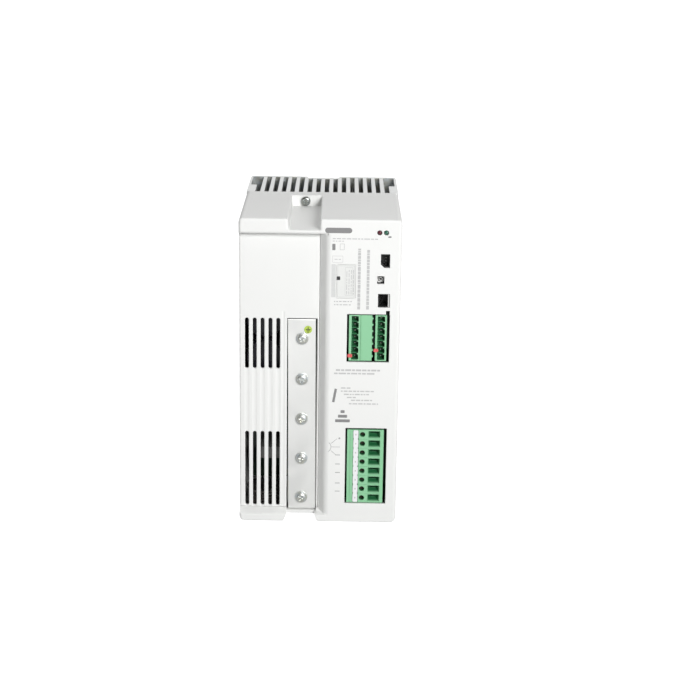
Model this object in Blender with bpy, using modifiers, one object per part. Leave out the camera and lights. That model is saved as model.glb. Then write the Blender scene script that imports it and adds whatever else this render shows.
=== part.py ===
"""Servo drive: a white hood over a finned heatsink, with its terminals, boards and fans.

Frame: metres, +Z up, +X to the right seen from the front, +Y towards the wall it is fastened to.
The origin is at the middle of the bottom of the whole box.
"""

import math

import bmesh
import bpy
from mathutils import Matrix, Vector

MM = 0.001

# ---------------------------------------------------------------- driving dimensions
WIDTH = 125 * MM
HEIGHT = 247 * MM
DEPTH = 180 * MM
HOOD_DEPTH = 108.5 * MM
WALL = 2 * MM
GAP = 0.3 * MM  # between touching pieces
PAST = 5 * MM  # how far a cutter runs past the face that it opens
MERGE = 0.003 * MM  # points closer than this are one

HALF = WIDTH / 2
FRONT = -DEPTH / 2
BACK = DEPTH / 2
HOOD_BACK = FRONT + HOOD_DEPTH
INSIDE = HALF - WALL

# the power section of the front, set back behind the control section
COVER_FACE = FRONT + 8 * MM
COVER_THICK = 2.4 * MM
COVER_RETURN = 12 * MM
COVER_TOP = 235 * MM
COVER_BOTTOM = 8.7 * MM
LEDGE_FRONT = 6 * MM
FLANK_X = 0.2 * MM  # where the control section's slanted side meets the cover
FLANK_ANGLE = math.radians(55)
FLANK_RADIUS = 6.1 * MM
FLANK_END = 9 * MM

# notches between the two sections, above and below
NOTCH_LEFT = -24 * MM
NOTCH_RIGHT = -0.6 * MM
NOTCH_FLOOR = 238.3 * MM
NOTCH_BACK = 4 * MM
HOOD_SCREW_Z = 242.4 * MM
HOOD_SCREW_HOLE = 1.8 * MM
FOOT_NOTCH_TOP = 4 * MM

# vent slots in the cover
SLOT_COUNT = 5
SLOT_PITCH = 6.12 * MM
SLOT_FIRST = -56.7 * MM
SLOT_WIDTH = 2.9 * MM
SLOT_ROWS = ((10.3 * MM, 73.2 * MM), (125.2 * MM, 166.4 * MM))
FLUTE_RADIUS = 6 * MM
FLUTE_DEPTH = 0.35 * MM
FLUTE_TOP = 174 * MM

# earthing plate in the cover
PLATE_OPENING = (-25.2 * MM, -1.5 * MM)
PLATE_OPENING_TOP = 166.4 * MM
PLATE_OPENING_BOTTOM = 6.6 * MM
PLATE_EDGE_GAP = 1 * MM
PLATE_FACE = COVER_FACE + 2 * MM
PLATE_THICK = 2 * MM
PLATE_X = (PLATE_OPENING[0] + PLATE_OPENING[1]) / 2
PLATE_SCREW_COUNT = 5
PLATE_SCREW_LOWEST = 17.4 * MM
PLATE_SCREW_PITCH = 33.1 * MM
BRACKET_FACE = PLATE_FACE + PLATE_THICK + GAP
BRACKET_THICK = 2 * MM
BRACKET_LEG = (-24.4 * MM, -22.9 * MM)
BRACKET_Z = (12 * MM, 160 * MM)

# heatsink
BASE_FRONT = 6.3 * MM
FINS_FRONT = HOOD_BACK + GAP
REAR_PLATE_THICK = 4 * MM
FINS_BACK = BACK - REAR_PLATE_THICK - GAP
FIN_COUNT = 15
FIN_PITCH = 7.1 * MM
FIN_THICK = 3.4 * MM
OUTER_FIN = 2 * MM
CORNER_BLOCK = (7 * MM, 30 * MM)
FAN_BAY_TOP = 28.5 * MM
REAR_STEP = (13.5 * MM, 1.2 * MM)  # half its width, and its depth
FIXING_Z = (14 * MM, 225 * MM)
FIXING_X = FIN_PITCH * 6.5  # the fixing holes are in line with a gap between fins
FIXING_RADIUS = 2.5 * MM

# fans under the fins
FAN_SIZE = 59.6 * MM
FAN_Z = (1.5 * MM, 26.5 * MM)
FAN_X = 30.1 * MM
FAN_Y = 51 * MM
FAN_BORE = 28.5 * MM
ROTOR_RADIUS = 27.3 * MM
ROTOR_HUB = 13 * MM
BLADE_COUNT = 7

# control section's fittings: (left, right), (bottom, top)
HEADER_OPENING = ((21.3 * MM, 54.3 * MM), (133.9 * MM, 172.5 * MM))
KEY_NOTCH = ((51.3 * MM, 54.2 * MM), (172 * MM, 175.6 * MM))
PLUG_OPENING = ((21.4 * MM, 53.9 * MM), (16.1 * MM, 79.5 * MM))
AUX_OPENING = ((46.5 * MM, 53.7 * MM), (209.7 * MM, 220.3 * MM))
BUTTON_OPENING = ((43.9 * MM, 49.4 * MM), (196.8 * MM, 202.9 * MM))
JACK_OPENING = ((44.9 * MM, 54 * MM), (178.1 * MM, 188.9 * MM))
LABEL_AREA = ((12.5 * MM, 27.5 * MM), (185 * MM, 212 * MM))
LABEL_RECESS = 0.6 * MM
LABEL_THICK = 0.25 * MM
LED_X = (45.2 * MM, 50.3 * MM)
LED_Z = 236.9 * MM
LED_RADIUS = 1.6 * MM
LED_HOLE = 1.95 * MM
AUX_PINS = 4
AUX_PITCH = 2.54 * MM
AUX_PIN = 0.64 * MM
AUX_PIN_X = 50.52 * MM

# pluggable terminals
CONTROL_PITCH = 5.08 * MM
CONTROL_POLES = 7
CONTROL_Z = (134.7 * MM, 171.5 * MM)
CONTROL_FACE = FRONT + 1.5 * MM
LEFT_HEADER = (22.9 * MM, 40.9 * MM)
RIGHT_HEADER = (43.3 * MM, 52.2 * MM)
LEFT_TROUGH = (24.8 * MM, 30.8 * MM)
RIGHT_TROUGH = (44.9 * MM, 50.9 * MM)
TROUGH_DEPTH = 8 * MM
POWER_PITCH = 7.62 * MM
POWER_POLES = 8
PLUG_X = (22.9 * MM, 51.7 * MM)
PLUG_Z = (16.8 * MM, 78.1 * MM)
PLUG_FACE = FRONT + 0.5 * MM
PLUG_BACK = FRONT + 20 * MM
POWER_FIRST_Z = (PLUG_Z[0] + PLUG_Z[1]) / 2 - POWER_PITCH * (POWER_POLES - 1) / 2
SCREW_X = 34.9 * MM
ENTRY_X = (39.5 * MM, 48.8 * MM)
ENTRY_HEIGHT = 5.7 * MM
THROAT_WIDTH = 5 * MM
THROAT_HEIGHT = 4.6 * MM
MARKER_X = (27.7 * MM, 31.7 * MM)
PIN_X = 28.5 * MM

# boards
CONTROL_BOARD_Y = FRONT + 22 * MM
TERMINAL_BOARD_Y = FRONT + 28 * MM
POWER_BOARD_Y = FRONT + 70 * MM
BOARD_THICK = 1.6 * MM

COLOURS = {
    "white_plastic": ((0.86, 0.87, 0.85), 0.45, 0.0),
    "green_plastic": ((0.20, 0.58, 0.32), 0.5, 0.0),
    "black_plastic": ((0.02, 0.02, 0.02), 0.45, 0.0),
    "grey_plastic": ((0.55, 0.56, 0.55), 0.5, 0.0),
    "marker_white": ((0.88, 0.88, 0.90), 0.5, 0.0),
    "red_plastic": ((0.75, 0.12, 0.10), 0.45, 0.0),
    "red_lens": ((0.35, 0.03, 0.06), 0.2, 0.0),
    "green_lens": ((0.04, 0.24, 0.14), 0.2, 0.0),
    "label_foil": ((0.72, 0.73, 0.72), 0.4, 0.0),
    "earth_yellow": ((0.62, 0.72, 0.12), 0.5, 0.0),
    "aluminium": ((0.72, 0.73, 0.72), 0.35, 1.0),
    "zinc_steel": ((0.66, 0.67, 0.65), 0.3, 1.0),
    "board_green": ((0.03, 0.16, 0.07), 0.4, 0.0),
    "copper": ((0.72, 0.36, 0.18), 0.35, 1.0),
    "ferrite": ((0.06, 0.06, 0.065), 0.6, 0.0),
}


# ---------------------------------------------------------------- scene and helpers
def clear_scene():
    for obj in list(bpy.data.objects):
        bpy.data.objects.remove(obj, do_unlink=True)


def new_collection(name):
    collection = bpy.data.collections.new(name)
    bpy.context.scene.collection.children.link(collection)
    return collection


clear_scene()
DRIVE = new_collection("servo_drive")
CUTTERS = new_collection("cutters")


def make_materials():
    made = {}
    for name, (colour, roughness, metallic) in COLOURS.items():
        material = bpy.data.materials.new(name)
        material.use_nodes = True
        shader = material.node_tree.nodes["Principled BSDF"]
        shader.inputs["Base Color"].default_value = (*colour, 1)
        shader.inputs["Roughness"].default_value = roughness
        shader.inputs["Metallic"].default_value = metallic
        made[name] = material
    return made


MATERIALS = make_materials()


def place(name, mesh, at, collection):
    obj = bpy.data.objects.new(name, mesh)
    obj.location = at
    collection.objects.link(obj)
    return obj


def as_piece(obj, material, smooth=False):
    """The object becomes a visible piece with its material."""
    obj.data.materials.clear()
    obj.data.materials.append(MATERIALS[material])
    if smooth:
        obj.data.shade_smooth()
        obj.data.set_sharp_from_angle(angle=math.radians(35))
    return obj


def box(name, low, high, material=None):
    """A box at its own centre: a piece when it has a material, otherwise a cutter."""
    low, high = Vector(low), Vector(high)
    bm = bmesh.new()
    bmesh.ops.create_cube(bm, size=1, matrix=Matrix.Diagonal((*(high - low), 1)))
    mesh = bpy.data.meshes.new(name)
    bm.to_mesh(mesh)
    bm.free()
    obj = place(name, mesh, (low + high) / 2, DRIVE if material else CUTTERS)
    return as_piece(obj, material) if material else obj


def round_bar(name, centre, axis, radius, length, material=None, sides=24):
    """A cylinder about a centre point along X, Y or Z."""
    bm = bmesh.new()
    bmesh.ops.create_cone(bm, cap_ends=True, segments=sides, radius1=radius, radius2=radius, depth=length)
    mesh = bpy.data.meshes.new(name)
    bm.to_mesh(mesh)
    bm.free()
    obj = place(name, mesh, centre, DRIVE if material else CUTTERS)
    turn = {"X": (0, math.pi / 2, 0), "Y": (math.pi / 2, 0, 0), "Z": (0, 0, 0)}
    obj.rotation_euler = turn[axis]
    return as_piece(obj, material, smooth=True) if material else obj


def turned(name, centre, axis, profile, material, sides=24):
    """A solid of revolution from (radius, distance along the axis) points, first to last."""
    bm = bmesh.new()
    points = [bm.verts.new((radius, 0, along)) for radius, along in profile]
    for first, second in zip(points, points[1:]):
        bm.edges.new((first, second))
    mesh = bpy.data.meshes.new(name)
    bm.to_mesh(mesh)
    bm.free()
    obj = place(name, mesh, centre, DRIVE)
    # the profile runs from the far end to the near one, so that it faces outwards
    obj.rotation_euler = {"Y": (math.pi / 2, 0, 0), "Z": (0, 0, 0)}[axis]
    screw = obj.modifiers.new("Screw", "SCREW")
    screw.steps = screw.render_steps = sides
    screw.use_merge_vertices = True
    screw.merge_threshold = 0.00001
    return settle(as_piece(obj, material), smooth=True)


def prism(name, outline, low_z, high_z):
    """A cutter from a flat XY outline, extruded between two heights."""
    curve = bpy.data.curves.new(name, "CURVE")
    curve.dimensions = "2D"
    curve.fill_mode = "BOTH"
    curve.extrude = (high_z - low_z) / 2
    spline = curve.splines.new("POLY")
    spline.points.add(len(outline) - 1)
    for point, (x, y) in zip(spline.points, outline):
        point.co = (x, y, 0, 1)
    spline.use_cyclic_u = True
    drawn = place(name + "_outline", curve, (0, 0, (low_z + high_z) / 2), CUTTERS)
    bpy.context.view_layer.update()
    mesh = bpy.data.meshes.new_from_object(drawn.evaluated_get(bpy.context.evaluated_depsgraph_get()))
    bm = bmesh.new()
    bm.from_mesh(mesh)
    bmesh.ops.remove_doubles(bm, verts=bm.verts, dist=0.00001)
    bmesh.ops.recalc_face_normals(bm, faces=bm.faces)
    bm.to_mesh(mesh)
    bm.free()
    obj = place(name, mesh, drawn.matrix_world.translation.copy(), CUTTERS)
    bpy.data.objects.remove(drawn, do_unlink=True)
    return obj


def combine(obj, others, operation):
    for other in others:
        other.hide_render = True
        other.display_type = "WIRE"
        modifier = obj.modifiers.new(other.name, "BOOLEAN")
        modifier.operation = operation
        modifier.solver = "EXACT"
        modifier.object = other
    return obj


def cut(obj, *cutters):
    return combine(obj, cutters, "DIFFERENCE")


def add(obj, *others):
    return combine(obj, others, "UNION")


def settle(obj, smooth=False):
    """Apply the object's modifiers and drop the helper shapes that they used."""
    used = [m.object for m in obj.modifiers if m.type == "BOOLEAN"]
    bpy.context.view_layer.update()
    mesh = bpy.data.meshes.new_from_object(obj.evaluated_get(bpy.context.evaluated_depsgraph_get()))
    bm = bmesh.new()
    bm.from_mesh(mesh)
    bmesh.ops.remove_doubles(bm, verts=bm.verts, dist=MERGE)
    bmesh.ops.dissolve_degenerate(bm, edges=bm.edges, dist=MERGE)
    bm.to_mesh(mesh)
    bm.free()
    obj.modifiers.clear()
    obj.data = mesh
    if smooth:
        mesh.shade_smooth()
        mesh.set_sharp_from_angle(angle=math.radians(35))
    for other in used:
        bpy.data.objects.remove(other, do_unlink=True)
    return obj


def round_edges(obj, chosen, width, segments):
    """Round the edges whose middle and direction, in world space, the test accepts."""
    bm = bmesh.new()
    bm.from_mesh(obj.data)
    edges = []
    for edge in bm.edges:
        ends = [obj.location + vertex.co for vertex in edge.verts]
        direction = (ends[1] - ends[0]).normalized()
        if chosen((ends[0] + ends[1]) / 2, direction):
            edges.append(edge)
    bmesh.ops.bevel(bm, geom=edges, offset=width, segments=segments, profile=0.5, affect="EDGES")
    bm.to_mesh(obj.data)
    bm.free()
    return obj


def near(value, target, within=0.05 * MM):
    return abs(value - target) < within


def soften(obj, width):
    """Chamfer every sharp edge."""
    bevel = obj.modifiers.new("Bevel", "BEVEL")
    bevel.width = width
    bevel.segments = 1
    bevel.limit_method = "ANGLE"
    bevel.angle_limit = math.radians(40)
    return obj


def span(x, y, z):
    """Two corners of a box from its (low, high) ranges."""
    return (x[0], y[0], z[0]), (x[1], y[1], z[1])


# ---------------------------------------------------------------- hood and cover
def flank_outline():
    """The recess seen from above: along the cover, up the slanted side, round to the front."""
    centre = (FLANK_END, FRONT + FLANK_RADIUS)
    steps = 5
    arc = []
    for step in range(steps + 1):
        angle = FLANK_ANGLE * (1 - step / steps)
        arc.append((centre[0] - FLANK_RADIUS * math.sin(angle), centre[1] - FLANK_RADIUS * math.cos(angle)))
    outside = FRONT - PAST
    left = -HALF - PAST
    return [(left, COVER_FACE), (FLANK_X, COVER_FACE), *arc, (FLANK_END, outside), (left, outside)]


def make_recess():
    """The space in front of the cover; its bottom slopes down towards the front."""
    recess = prism("recess", flank_outline(), LEDGE_FRONT, COVER_TOP)
    slope = (COVER_BOTTOM - LEDGE_FRONT) / (COVER_FACE - FRONT)
    lowest = min(vertex.co.z for vertex in recess.data.vertices)
    for vertex in recess.data.vertices:
        if near(vertex.co.z, lowest):
            vertex.co.z += slope * (vertex.co.y - FRONT)
    return recess


def tapered_cutter(name, low_x, high_x, y, z):
    """A cutter whose left and right sides lean in: low_x at its bottom, high_x at its top."""
    cutter = box(name, *span(low_x, y, z))
    middle = cutter.location.x
    for vertex in cutter.data.vertices:
        if vertex.co.z > 0:
            vertex.co.x = (high_x[0] if vertex.co.x < 0 else high_x[1]) - middle
    return cutter


def make_foot_notch():
    """The notch under the cover: narrower at its top than at the bottom edge."""
    return tapered_cutter("foot_notch", (-27.4 * MM, -0.4 * MM), (-25.9 * MM, -1.8 * MM),
                          (FRONT - PAST, NOTCH_BACK), (-1 * MM, FOOT_NOTCH_TOP))


def make_foot_gap():
    """The two feet stand apart in front of the cover's lower edge."""
    return tapered_cutter("foot_gap", (-26 * MM, -1.7 * MM), (-24.3 * MM, -3.2 * MM),
                          (FRONT - PAST, COVER_FACE + 0.01 * MM), (3 * MM, 9 * MM))


def make_hood():
    hood = box("hood", (-HALF, FRONT, 0), (HALF, HOOD_BACK, HEIGHT), "white_plastic")
    round_edges(hood, lambda at, way: near(abs(way.y), 1) and near(at.z, 0), 4 * MM, 3)
    round_edges(hood, lambda at, way: near(abs(way.z), 1, 0.01) and near(at.y, FRONT), 2.4 * MM, 4)
    top_notch = box("top_notch", *span((NOTCH_LEFT, NOTCH_RIGHT), (FRONT - PAST, NOTCH_BACK),
                                       (NOTCH_FLOOR, HEIGHT + PAST)))
    cut(hood, top_notch, make_foot_notch(), make_recess(), make_foot_gap())
    settle(hood)
    round_edges(hood, lambda at, way: near(abs(way.x), 1) and near(at.y, FRONT, 0.15 * MM)
                and (near(at.z, COVER_TOP) or near(at.z, NOTCH_FLOOR)), 1.4 * MM, 3)
    back = HOOD_BACK + PAST
    under_notch = NOTCH_FLOOR - WALL
    cavities = (
        ("main", (-INSIDE, INSIDE), (FRONT + 13 * MM, back), (6.2 * MM, under_notch)),
        ("behind_cover", (-INSIDE, -2 * MM), (FRONT, FRONT + 14 * MM), (10 * MM, 232.8 * MM)),
        ("plate_foot", PLATE_OPENING, (FRONT, FRONT + 14 * MM), (PLATE_OPENING_BOTTOM, 11 * MM)),
        ("left_top", (-INSIDE, NOTCH_LEFT - WALL), (FRONT + WALL, back), (COVER_TOP + WALL, HEIGHT - WALL)),
        ("control_front", (11 * MM, INSIDE), (FRONT + WALL, FRONT + 14 * MM), (WALL, HEIGHT - WALL)),
        ("flank_inside", (5.6 * MM, 11.5 * MM), (FRONT + 5.2 * MM, FRONT + 14 * MM), (10 * MM, 232.8 * MM)),
        ("right_top", (1.4 * MM, INSIDE), (FRONT + 13 * MM, back), (under_notch - 1 * MM, HEIGHT - WALL)),
        ("left_foot", (-INSIDE, -29 * MM), (FRONT + WALL, back), (WALL, 4.2 * MM)),
        ("left_bottom", (-INSIDE, -29 * MM), (FRONT + 13 * MM, back), (WALL, 7 * MM)),
        ("right_bottom", (2 * MM, INSIDE), (FRONT + 13 * MM, back), (WALL, 7 * MM)),
        ("behind_notches", (-INSIDE, INSIDE), (NOTCH_BACK + WALL, back), (WALL, HEIGHT - WALL)),
    )
    seat_depth = COVER_FACE + COVER_THICK + GAP
    cover_seat = box("cover_seat", (-HALF - PAST, FRONT - 4 * MM, COVER_BOTTOM + GAP),
                     (FLANK_X - 0.1 * MM, seat_depth, COVER_TOP - GAP))
    return_seat = box("return_seat", (-HALF - PAST, FRONT - 4 * MM, COVER_BOTTOM + GAP),
                      (-INSIDE + GAP, COVER_FACE + COVER_RETURN + GAP, COVER_TOP - GAP))
    cutters = [box("cavity_" + name, *span(x, y, z)) for name, x, y, z in cavities]
    through = (FRONT - 2 * MM, FRONT + 4 * MM)
    openings = (HEADER_OPENING, KEY_NOTCH, PLUG_OPENING, AUX_OPENING, BUTTON_OPENING, JACK_OPENING)
    for number, (x, z) in enumerate(openings):
        cutters.append(box(f"opening_{number}", *span(x, through, z)))
    for x in LED_X:
        cutters.append(round_bar("led_hole", (x, FRONT, LED_Z), "Y", LED_HOLE, 10 * MM, sides=16))
    label_depth = (FRONT - 2 * MM, FRONT + LABEL_RECESS)
    cutters.append(box("label_recess", *span(LABEL_AREA[0], label_depth, LABEL_AREA[1])))
    hood_screw = (PLATE_X, NOTCH_BACK, HOOD_SCREW_Z)
    cutters.append(round_bar("screw_hole", hood_screw, "Y", HOOD_SCREW_HOLE, 12 * MM, sides=16))
    cut(hood, cover_seat, return_seat, *cutters)
    return settle(hood, smooth=True)


def slot_cutter(name, x, bottom, top):
    """A long hole with round ends through the cover."""
    radius = SLOT_WIDTH / 2
    outline = []
    for end, turn in ((top - radius, 0), (bottom + radius, math.pi)):
        for step in range(7):
            angle = turn + math.pi * step / 6
            outline.append((radius * math.cos(angle), end + radius * math.sin(angle)))
    cutter = prism(name, outline, -PAST, PAST)
    # the outline is drawn flat, then stood up in the front view
    cutter.data.transform(Matrix.Rotation(math.pi / 2, 4, "X"))
    cutter.location = (x, COVER_FACE, 0)
    return cutter


def make_power_cover():
    low, high = COVER_BOTTOM + 2 * GAP, COVER_TOP - 2 * GAP
    right = FLANK_X - 0.4 * MM
    inner = COVER_FACE + COVER_THICK
    cover = box("power_cover", (-HALF, COVER_FACE, low), (right, inner, high), "white_plastic")
    round_edges(cover, lambda at, way: near(abs(way.z), 1, 0.01) and near(at.x, -HALF)
                and near(at.y, COVER_FACE), 1.5 * MM, 3)
    side = box("cover_side", (-HALF, COVER_FACE + 1.8 * MM, low), (-INSIDE, COVER_FACE + COVER_RETURN, high))
    settle(add(cover, side))
    opening = box("plate_opening", *span(PLATE_OPENING, (COVER_FACE - PAST, inner + PAST),
                                         (low - PAST, PLATE_OPENING_TOP)))
    cutters = [opening]
    for index in range(SLOT_COUNT):
        x = SLOT_FIRST + index * SLOT_PITCH
        flute_at = (x, COVER_FACE - FLUTE_RADIUS + FLUTE_DEPTH, (FLUTE_TOP + low) / 2)
        cutters.append(round_bar("flute", flute_at, "Z", FLUTE_RADIUS, FLUTE_TOP - low + 2 * MM, sides=48))
        for bottom, top in SLOT_ROWS:
            cutters.append(slot_cutter("slot", x, bottom, top))
    return settle(cut(cover, *cutters), smooth=True)


# ---------------------------------------------------------------- earthing plate
def plate_screw_heights():
    return [PLATE_SCREW_LOWEST + index * PLATE_SCREW_PITCH for index in range(PLATE_SCREW_COUNT)]


def make_plate():
    left, right = PLATE_OPENING[0] + PLATE_EDGE_GAP, PLATE_OPENING[1] - PLATE_EDGE_GAP
    bottom, top = PLATE_OPENING_BOTTOM + PLATE_EDGE_GAP, PLATE_OPENING_TOP - PLATE_EDGE_GAP
    plate = box("earthing_plate", *span((left, right), (PLATE_FACE, PLATE_FACE + PLATE_THICK), (bottom, top)),
                "aluminium")
    lip = box("plate_lip", (left, PLATE_FACE + 1 * MM, top - PLATE_THICK), (right, PLATE_FACE + 12 * MM, top))
    holes = [round_bar("plate_hole", (PLATE_X, PLATE_FACE, z), "Y", 2.3 * MM, 10 * MM, sides=16)
             for z in plate_screw_heights()]
    settle(add(plate, lip))
    round_edges(plate, lambda at, way: near(abs(way.x), 1) and near(at.y, PLATE_FACE)
                and near(at.z, top), 1.5 * MM, 3)
    return settle(cut(plate, *holes))


def make_bracket():
    """The sheet-metal bracket that carries the earthing plate and stands on the heatsink's base."""
    front, leg_back = BRACKET_FACE, BASE_FRONT - GAP
    left, right = BRACKET_LEG[0], -3 * MM
    bottom, top = BRACKET_Z
    bracket = box("plate_bracket", (left, front, bottom), (right, front + BRACKET_THICK, top), "zinc_steel")
    leg = box("bracket_leg", (left, front + 1 * MM, bottom), (BRACKET_LEG[1], leg_back, top))
    holes = [round_bar("bracket_hole", (PLATE_X, front, z), "Y", 2.3 * MM, 10 * MM, sides=12)
             for z in plate_screw_heights()]
    return settle(cut(settle(add(bracket, leg)), *holes))


def pan_head(name, centre, head_radius, head_height, shank_radius, length, washer=None):
    """A cross-recessed pan-head screw that points along +Y, with its head's seat at the centre."""
    x, y, z = centre
    profile = [(0, head_height)]
    for step in range(1, 4):
        angle = math.pi / 2 * step / 3
        profile.append((head_radius * (0.55 + 0.45 * math.sin(angle)),
                        head_height * (0.35 + 0.65 * math.cos(angle))))
    profile.append((head_radius, 0))
    base = 0
    if washer:
        washer_radius, washer_height = washer
        base = -washer_height
        profile += [(washer_radius, 0), (washer_radius, base)]
    profile += [(shank_radius, base), (shank_radius, -length), (0, -length)]
    screw = turned(name, centre, "Y", profile, "zinc_steel", sides=20)
    arm, width = head_radius * 0.62, head_radius * 0.11
    depth = (y - head_height - 1 * MM, y - head_height * 0.45)
    upright = box("recess_upright", *span((x - width, x + width), depth, (z - arm, z + arm)))
    across = box("recess_across", *span((x - arm, x + arm), depth, (z - width, z + width)))
    return settle(cut(screw, upright, across), smooth=True)


def make_fasteners():
    washer_height = 1 * MM
    seat = PLATE_FACE - GAP - washer_height
    for number, z in enumerate(reversed(plate_screw_heights()), start=1):
        pan_head(f"plate_screw_{number}", (PLATE_X, seat, z), 3.7 * MM, 2.5 * MM, 2 * MM, 9 * MM,
                 washer=(4.9 * MM, washer_height))
    pan_head("hood_screw", (PLATE_X, NOTCH_BACK - GAP, HOOD_SCREW_Z), 3.9 * MM, 3 * MM, 1.5 * MM, 11 * MM)


def make_earth_label():
    centre = (-8.9 * MM, PLATE_FACE - GAP - LABEL_THICK / 2, 157 * MM)
    round_bar("earth_label", centre, "Y", 3.05 * MM, LABEL_THICK, "earth_yellow", sides=32)


# ---------------------------------------------------------------- control section's fittings
def make_label():
    """A plain foil plate that lies in the shallow recess on the front."""
    (left, right), (bottom, top) = LABEL_AREA
    back = FRONT + LABEL_RECESS - GAP
    box("rating_label", (left + GAP, back - LABEL_THICK, bottom + GAP), (right - GAP, back, top - GAP),
        "label_foil")


def make_led(name, x, material):
    """A light with a domed front, just behind the hood's face, and a body that reaches the board."""
    dome = 1.1 * MM
    tip = FRONT + 0.2 * MM
    back = CONTROL_BOARD_Y - GAP
    profile = [(0, -tip)]
    for step in range(1, 4):
        angle = math.pi / 2 * step / 3
        profile.append((LED_RADIUS * math.sin(angle), -tip - dome * (1 - math.cos(angle))))
    profile += [(LED_RADIUS, -back), (0, -back)]
    turned(name, (x, 0, LED_Z), "Y", profile, material, sides=20)


def square_pin(x, floor, z, size):
    """A contact pin that stands 3 mm out of a connector's floor towards the front."""
    half = size / 2
    return box("pin", (x - half, floor - 3 * MM, z - half), (x + half, floor + 1 * MM, z + half))


def make_aux_port():
    """A four-pin port in a black shell with one chamfered corner."""
    x, z = (46.9 * MM, 53.4 * MM), (210 * MM, 220 * MM)
    face, back = FRONT + 1 * MM, CONTROL_BOARD_Y - GAP
    port = box("aux_port", *span(x, (face, back), z), "black_plastic")
    round_edges(port, lambda at, way: near(abs(way.y), 1) and near(at.x, x[0])
                and near(at.z, z[0]), 2 * MM, 1)
    rim, floor = 0.6 * MM, face + 8 * MM
    hollow = box("aux_hollow", *span((x[0] + rim, x[1] - rim), (face - 2 * MM, floor),
                                     (z[0] + rim, z[1] - rim)))
    round_edges(hollow, lambda at, way: near(abs(way.y), 1) and at.x < x[0] + 1 * MM
                and at.z < z[0] + 1 * MM, 1.9 * MM, 1)
    settle(cut(port, hollow))
    pins = []
    for number in range(AUX_PINS):
        pin_z = (z[0] + z[1]) / 2 + (number - (AUX_PINS - 1) / 2) * AUX_PITCH
        pins.append(square_pin(AUX_PIN_X, floor, pin_z, AUX_PIN))
    return settle(add(port, *pins))


def make_button():
    """A recessed push switch: a square body and its round plunger."""
    x, z = 46.6 * MM, 199.9 * MM
    half = 3 * MM
    face = FRONT + 5.5 * MM
    body = box("reset_switch", (x - half, face, z - half), (x + half, CONTROL_BOARD_Y - GAP, z + half),
               "grey_plastic")
    settle(cut(body, round_bar("plunger_hole", (x, face, z), "Y", 1.85 * MM, 5 * MM, sides=20)))
    round_bar("reset_button", (x, face, z), "Y", 1.5 * MM, 3 * MM, "black_plastic", sides=20)


def make_network_jack():
    """A modular jack turned on its side, with a grey cheek on its right."""
    x, z = (45.2 * MM, 53.7 * MM), (178.4 * MM, 188.6 * MM)
    face = FRONT + 1 * MM
    jack = box("network_jack", *span(x, (face, CONTROL_BOARD_Y - GAP), z), "black_plastic")
    hollow = box("jack_hollow", *span((45.8 * MM, 51.6 * MM), (face - 2 * MM, face + 12 * MM),
                                      (179 * MM, 188 * MM)))
    latch = box("jack_latch", *span((51 * MM, 52.9 * MM), (face - 2 * MM, face + 7 * MM),
                                    (181 * MM, 186 * MM)))
    settle(cut(jack, hollow, latch))
    contacts = []
    for number in range(8):
        low = 179.9 * MM + number * 1.02 * MM
        contacts.append(box("jack_contact", *span((45.5 * MM, 46.4 * MM), (face + 4 * MM, face + 11 * MM),
                                                  (low, low + 0.4 * MM))))
    return settle(add(jack, *contacts))


# ---------------------------------------------------------------- control terminals
def control_heights():
    middle = (CONTROL_Z[0] + CONTROL_Z[1]) / 2
    return [middle + (n - (CONTROL_POLES - 1) / 2) * CONTROL_PITCH for n in range(CONTROL_POLES)]


def make_control_header(name, x, trough):
    """A pin header: an open trough with keyed ribs and square pins."""
    header = box(name, *span(x, (CONTROL_FACE, CONTROL_BOARD_Y - GAP), CONTROL_Z), "green_plastic")
    floor = CONTROL_FACE + TROUGH_DEPTH
    low, high = CONTROL_Z[0] + 1 * MM, CONTROL_Z[1] - 1 * MM
    settle(cut(header, box("trough", *span(trough, (CONTROL_FACE - 2 * MM, floor), (low, high)))))
    pin_x = (trough[0] + trough[1]) / 2
    grown = [square_pin(pin_x, floor, z, 1 * MM) for z in control_heights()]
    ribs = [z + CONTROL_PITCH / 2 for z in control_heights()[:-1]]
    grown += [box("rib", (trough[1] - 1 * MM, CONTROL_FACE + 0.8 * MM, z - 0.4 * MM),
                  (trough[1] + 0.5 * MM, floor + 0.5 * MM, z + 0.4 * MM)) for z in ribs]
    return settle(add(header, *grown))


def add_key_teeth(header):
    """Small teeth along the right edge of the left header, between the two rows."""
    right = LEFT_HEADER[1]
    teeth = [box("tooth", (right - 1 * MM, CONTROL_FACE + 0.5 * MM, z + 2 * MM),
                 (right + 0.9 * MM, CONTROL_FACE + 6 * MM, z + 3.1 * MM)) for z in control_heights()]
    return settle(add(header, *teeth))


def make_coding_tab(name, x, z):
    """A red coding tab clipped over a header's wall."""
    back = CONTROL_FACE - GAP
    half_width, half_height = 1.9 * MM, 1.4 * MM
    box(name, (x - half_width, back - 0.8 * MM, z - half_height), (x + half_width, back, z + half_height),
        "red_plastic")


# ---------------------------------------------------------------- power terminals
def power_heights():
    return [POWER_FIRST_Z + n * POWER_PITCH for n in range(POWER_POLES)]


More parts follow.
